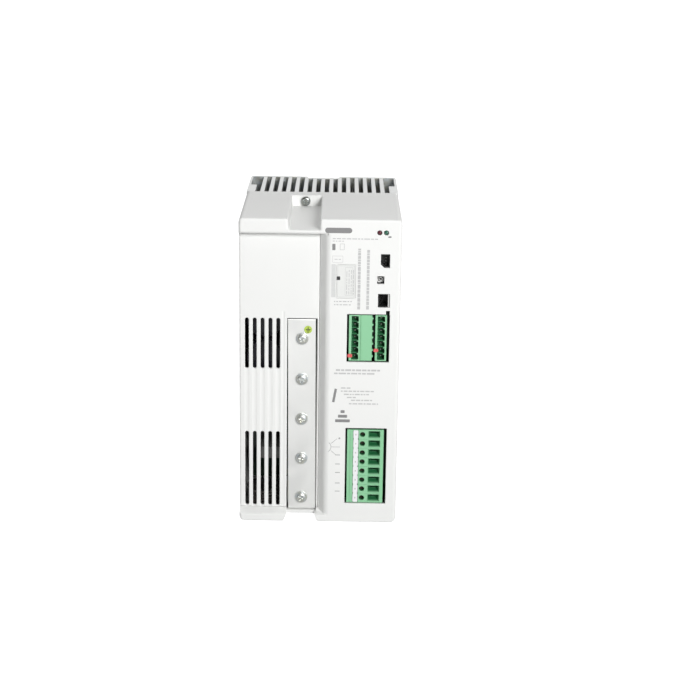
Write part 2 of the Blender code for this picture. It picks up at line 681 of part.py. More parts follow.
def make_power_plug():
    """The eight-pole plug: screw holes, funnel-shaped wire entries, a marker groove and rear sockets."""
    plug = box("power_plug", *span(PLUG_X, (PLUG_FACE, PLUG_BACK), PLUG_Z), "green_plastic")
    groove = box("marker_groove", *span((MARKER_X[0] - GAP, MARKER_X[1] + GAP),
                                        (PLUG_FACE - 2 * MM, PLUG_FACE + 1.2 * MM),
                                        (PLUG_Z[0] + 0.4 * MM, PLUG_Z[1] - 0.4 * MM)))
    cutters = [groove]
    entry_middle = (ENTRY_X[0] + ENTRY_X[1]) / 2
    throat_x = (entry_middle - THROAT_WIDTH / 2, entry_middle + THROAT_WIDTH / 2)
    for z in power_heights():
        mouth = (z - ENTRY_HEIGHT / 2, z + ENTRY_HEIGHT / 2)
        throat = (z - THROAT_HEIGHT / 2, z + THROAT_HEIGHT / 2)
        cutters += [
            round_bar("screw_well", (SCREW_X, PLUG_FACE, z), "Y", 2.1 * MM, 22 * MM, sides=16),
            box("entry", *span(ENTRY_X, (PLUG_FACE - 2 * MM, PLUG_FACE + 6 * MM), mouth)),
            box("throat", *span(throat_x, (PLUG_FACE + 5 * MM, PLUG_FACE + 13 * MM), throat)),
            round_bar("socket", (PIN_X, PLUG_BACK, z), "Y", 1.3 * MM, 18 * MM, sides=10),
        ]
    return settle(cut(plug, *cutters))


def make_power_header():
    """The fixed half on the board behind the plug: a block with eight round pins."""
    front = PLUG_BACK + GAP
    header = box("power_header", *span(PLUG_X, (front, TERMINAL_BOARD_Y - GAP), PLUG_Z), "green_plastic")
    pins = [round_bar("power_pin", (PIN_X, front, z), "Y", 0.9 * MM, 14 * MM, sides=10)
            for z in power_heights()]
    return settle(add(header, *pins))


def make_terminal_screws():
    front = PLUG_FACE + 2 * MM
    length = 8 * MM
    for number, z in enumerate(reversed(power_heights()), start=1):
        middle = (SCREW_X, front + length / 2, z)
        screw = round_bar(f"terminal_screw_{number}", middle, "Y", 1.75 * MM, length, "zinc_steel", sides=16)
        slot = box("driver_slot", (SCREW_X - 3 * MM, front - 1 * MM, z - 0.35 * MM),
                   (SCREW_X + 3 * MM, front + 0.9 * MM, z + 0.35 * MM))
        settle(cut(screw, slot), smooth=True)


def make_marker_strip():
    """The white strip in the plug's groove, notched between one pole and the next."""
    face = PLUG_FACE + 0.1 * MM
    length = (PLUG_Z[0] + 0.7 * MM, PLUG_Z[1] - 0.7 * MM)
    strip = box("marker_strip", *span(MARKER_X, (face, face + 0.8 * MM), length), "marker_white")
    notches = []
    for z in power_heights()[:-1]:
        middle = z + POWER_PITCH / 2
        notches.append(box("tick", (MARKER_X[0] - 1 * MM, face - 1 * MM, middle - 0.2 * MM),
                           (MARKER_X[1] + 1 * MM, face + 0.3 * MM, middle + 0.2 * MM)))
    return settle(cut(strip, *notches))


# ---------------------------------------------------------------- heatsink and fans
def make_heatsink():
    """An extrusion: a thick base inside the hood, and fins from top to bottom behind it."""
    base = span((-INSIDE + GAP, INSIDE - GAP), (BASE_FRONT, FINS_FRONT), (WALL + GAP, HEIGHT - WALL - GAP))
    sink = box("heatsink", *base, "aluminium")
    block_width, block_depth = CORNER_BLOCK
    root = FINS_FRONT - 2 * MM
    within_hood = (WALL + 1 * MM, HEIGHT - WALL - 1 * MM)
    parts = []
    for side in (-1, 1):
        outer = side * HALF
        block = sorted((side * (HALF - block_width), outer))
        parts.append(box("corner_block", *span(block, (FINS_FRONT, FINS_FRONT + block_depth), (0, HEIGHT))))
        wall = sorted((side * (HALF - OUTER_FIN), outer))
        parts.append(box("outer_fin", *span(wall, (FINS_FRONT + 1 * MM, FINS_BACK), (0, HEIGHT))))
        link = sorted((side * 50 * MM, side * (INSIDE - GAP)))
        parts.append(box("block_root", *span(link, (root, FINS_FRONT + 5 * MM), within_hood)))
    for index in range(FIN_COUNT):
        x = (index - (FIN_COUNT - 1) / 2) * FIN_PITCH
        fin = (x - FIN_THICK / 2, x + FIN_THICK / 2)
        parts.append(box("fin", *span(fin, (root, FINS_BACK), within_hood)))
        parts.append(box("fin_end", *span(fin, (FINS_FRONT, FINS_BACK), (1 * MM, HEIGHT))))
    settle(add(sink, *parts))
    bay_side = HALF - OUTER_FIN
    bay = box("fan_bay", (-bay_side, FINS_FRONT + 0.1 * MM, -PAST), (bay_side, BACK, FAN_BAY_TOP))
    tapping = (PLATE_X, BASE_FRONT, HOOD_SCREW_Z)
    hole = round_bar("tapped_hole", tapping, "Y", HOOD_SCREW_HOLE, 20 * MM, sides=16)
    return settle(cut(sink, bay, hole))


def make_rear_plate():
    """The plate behind the fins that closes the air duct and takes the fixing bolts."""
    plate = box("rear_plate", (-HALF, BACK - REAR_PLATE_THICK, 0), (HALF, BACK, HEIGHT), "zinc_steel")
    half_width, depth = REAR_STEP
    cutters = [box("top_step", (-half_width, 0, HEIGHT - depth), (half_width, BACK + PAST, HEIGHT + PAST))]
    for x in (-FIXING_X, FIXING_X):
        for z in FIXING_Z:
            cutters.append(round_bar("fixing_hole", (x, BACK, z), "Y", FIXING_RADIUS, 20 * MM, sides=16))
    return settle(cut(plate, *cutters))


def make_fan_frame(name, x):
    half = FAN_SIZE / 2
    low, high = FAN_Z
    frame = box(name, (x - half, FAN_Y - half, low), (x + half, FAN_Y + half, high), "black_plastic")
    above_struts = (x, FAN_Y, (low + high) / 2 + 5 * MM)
    bore = round_bar("bore", above_struts, "Z", FAN_BORE, high - low + 6 * MM, sides=40)
    corners = [round_bar("corner_hole", (x + sx * 25 * MM, FAN_Y + sy * 25 * MM, low), "Z", 2.1 * MM, 80 * MM,
                         sides=10) for sx in (-1, 1) for sy in (-1, 1)]
    inlet = round_bar("inlet", (x, FAN_Y, low), "Z", FAN_BORE, 10 * MM, sides=40)
    settle(cut(frame, bore, inlet, *corners))
    hub = round_bar("hub_plate", (x, FAN_Y, low + 1 * MM), "Z", ROTOR_HUB + 1 * MM, 2 * MM, sides=24)
    struts = []
    for index in range(3):
        strut = box("strut", *span((x + 10 * MM, x + FAN_BORE + 1 * MM), (FAN_Y - 1.5 * MM, FAN_Y + 1.5 * MM),
                                   (low, low + 2 * MM)))
        about = Matrix.Translation((x, FAN_Y, 0)) @ Matrix.Rotation(math.radians(35 + 120 * index), 4, "Z")
        strut.matrix_world = about @ Matrix.Translation((-x, -FAN_Y, 0)) @ Matrix.Translation(strut.location)
        struts.append(strut)
    settle(add(frame, hub, *struts))
    return settle(cut(frame, round_bar("bearing_hole", (x, FAN_Y, low), "Z", 1.9 * MM, 10 * MM, sides=12)))


def make_fan_rotor(name, x):
    """Hub, spindle and pitched blades, about the fan's upright axis."""
    low = FAN_Z[0] + 2.5 * MM
    high = FAN_Z[1] - 1 * MM
    middle = (low + high) / 2
    rotor = round_bar(name, (x, FAN_Y, middle), "Z", ROTOR_HUB, high - low, "black_plastic", sides=28)
    grown = [round_bar("spindle", (x, FAN_Y, low - 0.2 * MM), "Z", 1.4 * MM, 3.6 * MM, sides=12)]
    inner, outer = ROTOR_HUB - 1.5 * MM, ROTOR_RADIUS - 1 * MM
    length, chord, thick = outer - inner, 15 * MM, 1.2 * MM
    for index in range(BLADE_COUNT):
        blade = box("blade", (-length / 2, -chord / 2, -thick / 2), (length / 2, chord / 2, thick / 2))
        turn = Matrix.Rotation(2 * math.pi * index / BLADE_COUNT, 4, "Z")
        pitch = Matrix.Rotation(math.radians(42), 4, "X")
        out = Matrix.Translation(((inner + outer) / 2, 0, 0))
        blade.matrix_world = Matrix.Translation((x, FAN_Y, middle)) @ turn @ out @ pitch
        grown.append(blade)
    return settle(add(rotor, *grown), smooth=True)


# ---------------------------------------------------------------- inside
def make_board(name, x, front, z):
    return box(name, *span(x, (front, front + BOARD_THICK), z), "board_green")


def make_boards():
    """Two boards behind the control section, and the power board across the whole width."""
    beside_cover = (14 * MM, 60 * MM)
    make_board("control_board", beside_cover, CONTROL_BOARD_Y, (98 * MM, 242 * MM))
    make_board("terminal_board", beside_cover, TERMINAL_BOARD_Y, (10 * MM, 90 * MM))
    power = make_board("power_board", (-57 * MM, 57 * MM), POWER_BOARD_Y, (12 * MM, 234 * MM))
    # the earthing plate's bracket passes through it
    clear = 1 * MM
    slot = box("bracket_slot", *span((BRACKET_LEG[0] - clear, BRACKET_LEG[1] + clear),
                                     (POWER_BOARD_Y - PAST, POWER_BOARD_Y + PAST), (0, BRACKET_Z[1] + clear)))
    settle(cut(power, slot))


def make_connectors():
    """The stacking connectors that carry the two front boards on the power board."""
    for name, board, x, z in (("board_connector", CONTROL_BOARD_Y, (40 * MM, 46 * MM), (150 * MM, 190 * MM)),
                              ("terminal_riser", TERMINAL_BOARD_Y, (28 * MM, 54 * MM), (80 * MM, 86 * MM))):
        box(name, *span(x, (board + BOARD_THICK + GAP, POWER_BOARD_Y - GAP), z), "black_plastic")


def make_capacitors():
    """Link capacitors, lying with their feet on the power board, behind the closed part of the cover."""
    radius, length = 14.5 * MM, 50 * MM
    back = POWER_BOARD_Y - GAP
    for number, z in enumerate((100 * MM, 131 * MM, 162 * MM, 193 * MM), start=1):
        front = back - length
        profile = [(0, -front - 0.6 * MM), (radius - 3 * MM, -front - 0.6 * MM), (radius - 2.5 * MM, -front),
                   (radius - 1 * MM, -front), (radius, -front - 1 * MM), (radius, -back + 4 * MM),
                   (radius - 0.8 * MM, -back + 3 * MM), (radius, -back + 2 * MM), (radius, -back), (0, -back)]
        turned(f"link_capacitor_{number}", (-43 * MM, 0, z), "Y", profile, "black_plastic", sides=24)


def make_choke():
    """The mains choke: a coil of heavy wire, wound in level turns on a bobbin."""
    turns, wire = 6, 2.4 * MM
    radius, bottom, flange = 14 * MM, 3.5 * MM, 1.5 * MM
    valley, crest = radius - 1.6 * MM, radius - 0.6 * MM
    top = bottom + turns * wire + 2 * flange
    profile = [(0, top), (radius, top), (radius, top - flange)]
    for turn in range(turns):
        start = top - flange - turn * wire
        profile += [(valley, start), (crest, start - wire * 0.25), (crest, start - wire * 0.75),
                    (valley, start - wire)]
    profile += [(radius, bottom + flange), (radius, bottom), (0, bottom)]
    turned("mains_choke", (-44 * MM, FRONT + 29 * MM, 0), "Z", profile, "copper", sides=24)


def make_power_parts():
    """What else stands on the power board, and the modules clamped against the heatsink's base."""
    board = POWER_BOARD_Y - GAP
    seat = BASE_FRONT - GAP
    box("film_capacitor", (-48 * MM, board - 42 * MM, 43.5 * MM), (-30 * MM, board, 53 * MM), "grey_plastic")
    box("inrush_relay", (-14 * MM, board - 16 * MM, 30 * MM), (6 * MM, board, 44 * MM), "black_plastic")
    for name, x, thickness, z in (("igbt_module", (5 * MM, 50 * MM), 13 * MM, (105 * MM, 165 * MM)),
                                  ("rectifier_module", (-55 * MM, -30 * MM), 9 * MM, (60 * MM, 95 * MM))):
        settle(soften(box(name, *span(x, (seat - thickness, seat), z), "black_plastic"), 1 * MM))
    core = box("supply_transformer", (-12 * MM, board - 22 * MM, 180 * MM), (16 * MM, board, 206 * MM),
               "ferrite")
    winding = box("winding", (-8 * MM, board - 26 * MM, 184 * MM), (12 * MM, board - 5 * MM, 202 * MM))
    settle(add(core, winding))
    length = seat - (POWER_BOARD_Y + BOARD_THICK + GAP)
    corners = [(x, z) for x in (-52 * MM, 52 * MM) for z in (20 * MM, 226 * MM)]
    for number, (x, z) in enumerate(corners, start=1):
        round_bar(f"standoff_{number}", (x, seat - length / 2, z), "Y", 3 * MM, length, "zinc_steel", sides=6)


# ---------------------------------------------------------------- build
def main():
    make_hood()
    make_power_cover()
    make_plate()
    make_bracket()
    make_fasteners()
    make_earth_label()
    make_label()
    make_led("status_light_red", LED_X[0], "red_lens")
    make_led("status_light_green", LED_X[1], "green_lens")
    make_aux_port()
    make_button()
    make_network_jack()
    add_key_teeth(make_control_header("control_header_left", LEFT_HEADER, LEFT_TROUGH))
    make_control_header("control_header_right", RIGHT_HEADER, RIGHT_TROUGH)
    make_coding_tab("coding_tab_left", 23.8 * MM, 138.9 * MM)
    make_coding_tab("coding_tab_right", 44 * MM, 143.4 * MM)
    make_power_plug()
    make_power_header()
    make_terminal_screws()
    make_marker_strip()
    make_heatsink()
    make_rear_plate()
    for side, x in (("left", -FAN_X), ("right", FAN_X)):
        make_fan_frame("fan_frame_" + side, x)
        make_fan_rotor("fan_rotor_" + side, x)
    make_boards()
    make_connectors()
    make_capacitors()
    make_choke()
    make_power_parts()


main()
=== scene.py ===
"""Looks of the servo drive: fine meshes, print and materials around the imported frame."""

import math
import random

import bmesh
import bpy
from mathutils import Matrix, Vector


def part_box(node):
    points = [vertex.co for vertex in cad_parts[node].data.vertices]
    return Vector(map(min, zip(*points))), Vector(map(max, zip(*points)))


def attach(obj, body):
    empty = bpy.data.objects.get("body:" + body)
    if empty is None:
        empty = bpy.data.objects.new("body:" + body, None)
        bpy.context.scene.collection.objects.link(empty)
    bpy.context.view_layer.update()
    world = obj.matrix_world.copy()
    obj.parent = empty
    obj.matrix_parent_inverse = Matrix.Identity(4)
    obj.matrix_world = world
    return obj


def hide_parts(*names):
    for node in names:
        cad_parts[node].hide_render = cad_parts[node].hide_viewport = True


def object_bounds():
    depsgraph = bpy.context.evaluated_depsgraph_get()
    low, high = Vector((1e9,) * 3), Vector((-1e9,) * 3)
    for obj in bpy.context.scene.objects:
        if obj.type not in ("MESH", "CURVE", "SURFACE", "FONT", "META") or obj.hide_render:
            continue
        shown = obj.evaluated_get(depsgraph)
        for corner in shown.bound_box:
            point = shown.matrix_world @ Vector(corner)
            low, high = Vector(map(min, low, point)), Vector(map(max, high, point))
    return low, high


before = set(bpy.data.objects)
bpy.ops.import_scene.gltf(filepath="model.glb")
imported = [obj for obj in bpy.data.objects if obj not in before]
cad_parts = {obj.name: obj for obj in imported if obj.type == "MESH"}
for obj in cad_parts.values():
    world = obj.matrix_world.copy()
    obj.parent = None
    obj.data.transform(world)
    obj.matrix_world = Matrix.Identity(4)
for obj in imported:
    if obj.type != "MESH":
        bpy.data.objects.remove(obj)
CAD_LOW, CAD_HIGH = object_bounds()

MM = 0.001  # shapes are drawn in millimetres, and become metres when they are done
FRONT = CAD_LOW.y / MM
SKIN = 0.06  # the hood's face lies this far behind its CAD face, which leaves room for the print
FACE = FRONT + SKIN
PAST = 5  # how far a cutter runs past a face


def extent(node):
    """A CAD node's lowest and highest corner, in millimetres."""
    low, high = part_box(node)
    return low / MM, high / MM


def across(node):
    """The ranges along X, Y and Z of a CAD node, in millimetres."""
    return tuple(zip(*extent(node)))


def centre_of(node):
    """The middle of a CAD node's box, in millimetres."""
    low, high = extent(node)
    return (low + high) / 2


# ---------------------------------------------------------------- outlines
def rounded_path(corners, steps=6):
    """An outline from (u, v, radius) corners, each rounded by an arc of its radius."""
    points = []
    count = len(corners)
    for index, (u, v, radius) in enumerate(corners):
        here = Vector((u, v))
        if radius == 0:
            points.append((u, v))
            continue
        before = (Vector(corners[index - 1][:2]) - here).normalized()
        after = (Vector(corners[(index + 1) % count][:2]) - here).normalized()
        half = before.angle(after) / 2
        centre = here + (before + after).normalized() * radius / math.sin(half)
        start = here + before * radius / math.tan(half) - centre
        end = here + after * radius / math.tan(half) - centre
        turn = start.angle_signed(end)
        for step in range(steps + 1):
            spoke = start.copy()
            spoke.rotate(Matrix.Rotation(-turn * step / steps, 2))
            points.append(tuple(centre + spoke))
    return points


def rectangle(u, v, radius=0.4, steps=4):
    """A function from how far it grows to the outline of a rectangle with round corners."""
    def outline(grow=0):
        left, right, low, high = u[0] - grow, u[1] + grow, v[0] - grow, v[1] + grow
        corner = max(radius + grow, 0.03)
        return rounded_path([(right, high, corner), (left, high, corner), (left, low, corner),
                             (right, low, corner)], steps)
    return outline


def circle(u, v, radius, sides=32):
    """A function from how far it grows to the outline of a circle."""
    def outline(grow=0):
        turns = [2 * math.pi * step / sides for step in range(sides)]
        return [(u + (radius + grow) * math.cos(a), v + (radius + grow) * math.sin(a)) for a in turns]
    return outline


def lying(outline, axis, at):
    """An outline's points in space, on the plane at that distance along an axis."""
    place = "XYZ".index(axis)
    return [(*point[:place], at, *point[place:]) for point in outline]


# ---------------------------------------------------------------- solids
def shape(name, bm):
    bmesh.ops.recalc_face_normals(bm, faces=bm.faces)
    mesh = bpy.data.meshes.new(name)
    bm.to_mesh(mesh)
    bm.free()
    obj = bpy.data.objects.new(name, mesh)
    bpy.context.scene.collection.objects.link(obj)
    return obj


def loft(name, rings):
    """A closed solid through rings of points, each ring with the same number of them."""
    bm = bmesh.new()
    rows = [[bm.verts.new(point) for point in ring] for ring in rings]
    for lower, upper in zip(rows, rows[1:]):
        for index in range(len(lower)):
            after = (index + 1) % len(lower)
            bm.faces.new((lower[index], lower[after], upper[after], upper[index]))
    bm.faces.new(rows[0])
    bm.faces.new(rows[-1])
    return shape(name, bm)


def prism(name, outline, span, axis="Y"):
    return loft(name, [lying(outline, axis, at) for at in span])


def tile(name, outline, y, edge=0.3, steps=3):
    """A solid that faces the front, from y[0] back to y[1], with its front rim rounded."""
    rings = []
    for step in range(steps + 1):
        angle = math.pi / 2 * step / steps
        rings.append(lying(outline(edge * (math.sin(angle) - 1)), "Y", y[0] + edge * (1 - math.cos(angle))))
    rings.append(lying(outline(), "Y", y[1]))
    return loft(name, rings)


def mouth(name, outline, y, lip=0.4, steps=3):
    """A cutter for a hole from the face at y[0] back to y[1], with a rounded lip."""
    rings = [lying(outline(lip), "Y", y[0] - 1)]
    for step in range(steps + 1):
        angle = math.pi / 2 * step / steps
        rings.append(lying(outline(lip * (1 - math.sin(angle))), "Y", y[0] + lip * (1 - math.cos(angle))))
    rings.append(lying(outline(), "Y", y[1]))
    return loft(name, rings)


def brick(name, x, y, z):
    low, high = Vector((x[0], y[0], z[0])), Vector((x[1], y[1], z[1]))
    bm = bmesh.new()
    matrix = Matrix.Translation((low + high) / 2) @ Matrix.Diagonal((*(high - low), 1))
    bmesh.ops.create_cube(bm, size=1, matrix=matrix)
    return shape(name, bm)


def lathe(name, centre, profile, sides=32, axis="Y"):
    """A solid of revolution about an axis through the centre, from (radius, distance) points.

    The first and last points lie on the axis, and a distance along Y counts back from the front.
    """
    bm = bmesh.new()
    rows = []
    for radius, along in profile:
        if radius == 0:
            rows.append([bm.verts.new((0, 0, along))])
            continue
        turns = [2 * math.pi * step / sides for step in range(sides)]
        rows.append([bm.verts.new((radius * math.cos(a), radius * math.sin(a), along)) for a in turns])
    for lower, upper in zip(rows, rows[1:]):
        for index in range(sides):
            after = (index + 1) % sides
            ring = [lower[index % len(lower)], lower[after % len(lower)],
                    upper[after % len(upper)], upper[index % len(upper)]]
            bm.faces.new(list(dict.fromkeys(ring)))
    turn = {"Y": Matrix.Rotation(-math.pi / 2, 4, "X"), "Z": Matrix.Identity(4),
            "X": Matrix.Rotation(math.pi / 2, 4, "Y")}[axis]
    bmesh.ops.transform(bm, matrix=Matrix.Translation(centre) @ turn, verts=bm.verts)
    return shape(name, bm)


def settle(obj):
    """The object keeps the mesh that its modifiers make."""
    bpy.context.view_layer.update()
    depsgraph = bpy.context.evaluated_depsgraph_get()
    mesh = bpy.data.meshes.new_from_object(obj.evaluated_get(depsgraph))
    obj.modifiers.clear()
    obj.data = mesh
    return obj


def combine(obj, others, operation):
    for other in others:
        modifier = obj.modifiers.new(other.name, "BOOLEAN")
        modifier.operation = operation
        modifier.solver = "EXACT"
        modifier.object = other
    settle(obj)
    for other in others:
        bpy.data.objects.remove(other, do_unlink=True)
    return obj


def carve(obj, *cutters):
    return combine(obj, cutters, "DIFFERENCE")


def weld(obj, *others):
    return combine(obj, others, "UNION")


def round_chosen(obj, width_of, steps=5):
    """Round edges: width_of gives an edge's width from its middle and its direction, or 0."""
    mesh = obj.data
    widths = []
    for edge in mesh.edges:
        ends = [mesh.vertices[index].co for index in edge.vertices]
        widths.append(width_of((ends[0] + ends[1]) / 2, (ends[1] - ends[0]).normalized()))
    widest = max(widths)
    weights = mesh.attributes.new("bevel_weight_edge", "FLOAT", "EDGE")
    weights.data.foreach_set("value", [width / widest for width in widths])
    bevel = obj.modifiers.new("Bevel", "BEVEL")
    bevel.limit_method = "WEIGHT"
    bevel.width = widest
    bevel.segments = steps
    return settle(obj)


def soften(obj, width, steps=2, angle=40):
    bevel = obj.modifiers.new("Bevel", "BEVEL")
    bevel.width = width
    bevel.segments = steps
    bevel.limit_method = "ANGLE"
    bevel.angle_limit = math.radians(angle)
    return settle(obj)


def bit(name, axis, span, corner, into, radius, steps=6):
    """A cutter that rounds one straight edge, like a router: into points into the material."""
    (a, b), (way_a, way_b) = corner, into
    outside = 0.5
    outline = [(a - way_a * outside, b - way_b * outside), (a + way_a * radius, b - way_b * outside)]
    for step in range(steps + 1):
        angle = math.pi / 2 * step / steps
        outline.append((a + way_a * radius * (1 - math.sin(angle)),
                        b + way_b * radius * (1 - math.cos(angle))))
    outline.append((a - way_a * outside, b + way_b * radius))
    return prism(name, outline, span, axis)


def spin(obj, centre, turn, axis="Y"):
    """Turn a shape that was made at the origin, and move it to the centre."""
    obj.data.transform(Matrix.Translation(centre) @ Matrix.Rotation(turn, 4, axis))
    return obj


def done(obj, material, body, slot, *nodes, sharp=38):
    """A finished shape becomes a piece: in metres, shaded, with its material and body; its slot is not used.
    """
    mesh = obj.data
    mesh.transform(Matrix.Scale(MM, 4))
    mesh.shade_smooth()
    mesh.set_sharp_from_angle(angle=math.radians(sharp))
    mesh.materials.clear()
    mesh.materials.append(material)
    weighted = obj.modifiers.new("Weighted normals", "WEIGHTED_NORMAL")
    weighted.keep_sharp = True
    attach(obj, body)
    if nodes:
        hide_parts(*nodes)
    return obj


def joined(name, objects):
    """Several shapes as one object."""
    bm = bmesh.new()
    for obj in objects:
        bm.from_mesh(obj.data)
        bpy.data.objects.remove(obj, do_unlink=True)
    return shape(name, bm)


# ---------------------------------------------------------------- materials
class Nodes:
    """A short way to build a Principled material."""

    def __init__(self, name, colour, roughness, metallic=0.0):
        self.material = bpy.data.materials.new(name)
        self.material.use_nodes = True
        self.tree = self.material.node_tree
        self.shader = self.tree.nodes["Principled BSDF"]
        self.shader.inputs["Base Color"].default_value = (*colour, 1)
        self.shader.inputs["Roughness"].default_value = roughness
        self.shader.inputs["Metallic"].default_value = metallic
        self.colour = colour
        self.place = self.add("ShaderNodeTexCoord").outputs["Object"]

    def add(self, kind, **settings):
        node = self.tree.nodes.new(kind)
        for key, value in settings.items():
            setattr(node, key, value)
        return node

    def link(self, start, end):
        self.tree.links.new(start, end)

    def noise(self, scale, stretch=(1, 1, 1), detail=3.0, rough=0.5):
        mapping = self.add("ShaderNodeMapping")
        mapping.inputs["Scale"].default_value = stretch
        self.link(self.place, mapping.inputs["Vector"])
        noise = self.add("ShaderNodeTexNoise")
        noise.inputs["Scale"].default_value = scale
        noise.inputs["Detail"].default_value = detail
        noise.inputs["Roughness"].default_value = rough
        self.link(mapping.outputs["Vector"], noise.inputs["Vector"])
        return noise.outputs["Fac"]

    def ramp(self, factor, low, high, start, end):
        """Values between start and end as the factor goes from low to high."""
        span = self.add("ShaderNodeMapRange")
        for key, value in (("From Min", low), ("From Max", high), ("To Min", start), ("To Max", end)):
            span.inputs[key].default_value = value
        self.link(factor, span.inputs["Value"])
        return span.outputs["Result"]

    def tint(self, factor, first, second):
        """A colour between two, by the factor."""
        mix = self.add("ShaderNodeMix", data_type="RGBA")
        mix.inputs["A"].default_value = (*first, 1)
        mix.inputs["B"].default_value = (*second, 1)
        self.link(factor, mix.inputs["Factor"])
        return mix.outputs["Result"]

    def paint(self, colour):
        self.link(colour, self.shader.inputs["Base Color"])
        return self

    def vary_colour(self, factor, darker):
        """The base colour, darkened by that share where the factor is low."""
        return self.paint(self.tint(factor, [c * (1 - darker) for c in self.colour], self.colour))

    def vary_roughness(self, factor, low, high):
        self.link(self.ramp(factor, 0.3, 0.7, low, high), self.shader.inputs["Roughness"])
        return self

    def bump(self, heights, distance=0.0001):
        """Surface relief from (height, strength) pairs, one on top of the other."""
        normal = None
        for height, strength in heights:
            bump = self.add("ShaderNodeBump")
            bump.inputs["Strength"].default_value = strength
            bump.inputs["Distance"].default_value = distance
            self.link(height, bump.inputs["Height"])
            if normal:
                self.link(normal, bump.inputs["Normal"])
            normal = bump.outputs["Normal"]
        self.link(normal, self.shader.inputs["Normal"])
        return self


def plastic(name, colour, roughness=0.42, grain=0.25, grain_scale=1500, darker=0.04):
    """Moulded plastic with a spark-eroded texture and faint flow marks."""
    nodes = Nodes(name, colour, roughness)
    flow = nodes.noise(35, (1, 1, 0.4), detail=4)
    fine = nodes.noise(grain_scale, detail=2, rough=0.6)
    nodes.vary_colour(flow, darker)
    nodes.vary_roughness(flow, roughness - 0.05, roughness + 0.06)
    nodes.bump([(flow, 0.08), (fine, grain)], 0.00005)
    return nodes


def painted_recess_shade(name, colour, shade_colour, face, depth, roughness=0.42):
    """Plastic with painted shade in its recesses: its colour darkens by the distance behind its own face."""
    nodes = plastic(name, colour, roughness, grain=0.15)
    flow = nodes.noise(35, (1, 1, 0.4), detail=4)
    axis = nodes.add("ShaderNodeSeparateXYZ")
    nodes.link(nodes.place, axis.inputs["Vector"])
    # painted shade: the share of the darker colour grows with the distance behind the face
    inside = nodes.ramp(axis.outputs["Y"], (face + depth[0]) * MM, (face + depth[1]) * MM, 0, 1)
    light = nodes.tint(flow, [c * 0.94 for c in colour], colour)
    mix = nodes.add("ShaderNodeMix", data_type="RGBA")
    mix.inputs["B"].default_value = (*shade_colour, 1)
    nodes.link(light, mix.inputs["A"])
    nodes.link(inside, mix.inputs["Factor"])
    nodes.paint(mix.outputs["Result"])
    return nodes


def drawn_metal(name, colour, roughness, along=(1, 1, 0.02), scale=2600, lines=0.35, darker=0.1):
    """Metal with drawing or brushing lines along one axis and cloudier patches."""
    nodes = Nodes(name, colour, roughness, metallic=1.0)
    line = nodes.noise(scale, along, detail=3, rough=0.7)
    cloud = nodes.noise(45, detail=4)
    nodes.vary_colour(cloud, darker)
    nodes.vary_roughness(cloud, roughness - 0.06, roughness + 0.1)
    nodes.bump([(line, lines), (cloud, 0.1)], 0.00004)
    return nodes


def zinc(name="zinc", colour=(0.74, 0.75, 0.74), roughness=0.27):
    """Passivated zinc: faintly mottled blue and yellow."""
    nodes = Nodes(name, colour, roughness, metallic=1.0)
    mottle = nodes.noise(260, detail=4, rough=0.6)
    yellow, blue = (0.97, 0.95, 0.86), (0.92, 0.97, 1.02)
    casts = [[c * share for c, share in zip(colour, cast)] for cast in (yellow, blue)]
    nodes.paint(nodes.tint(nodes.ramp(mottle, 0.35, 0.65, 0, 1), *casts))
    nodes.vary_roughness(mottle, roughness - 0.06, roughness + 0.12)
    nodes.bump([(nodes.noise(1800, detail=2), 0.15)], 0.00003)
    return nodes


def lens(name, colour):
    nodes = plastic(name, colour, roughness=0.12, grain=0.02, grain_scale=600, darker=0.25)
    nodes.shader.inputs["Coat Weight"].default_value = 1.0
    nodes.shader.inputs["Coat Roughness"].default_value = 0.05
    return nodes


def circuit_board():
    """Solder resist with faint tracks under it, near black: its dark tone is partly painted shade, for the
    gaps where the boards show.
    """
    nodes = Nodes("solder_resist_painted_shade", (0.012, 0.03, 0.02), 0.4)
    turn = nodes.add("ShaderNodeMapping")
    turn.inputs["Rotation"].default_value = (math.pi / 2, 0, 0)
    nodes.link(nodes.place, turn.inputs["Vector"])
    tracks = nodes.add("ShaderNodeTexBrick")
    tracks.inputs["Scale"].default_value = 260
    tracks.inputs["Mortar Size"].default_value = 0.06
    nodes.link(turn.outputs["Vector"], tracks.inputs["Vector"])
    nodes.paint(nodes.tint(tracks.outputs["Fac"], (0.01, 0.025, 0.016), (0.022, 0.05, 0.032)))
    nodes.bump([(tracks.outputs["Fac"], 0.4)], 0.00005)
    nodes.shader.inputs["Coat Weight"].default_value = 0.5
    return nodes


def printed(name, colour):
    """Printing ink, a little uneven."""
    nodes = Nodes(name, colour, 0.6)
    nodes.vary_colour(nodes.noise(900, detail=3), 0.15)
    nodes.bump([(nodes.noise(2500), 0.1)], 0.00002)
    return nodes


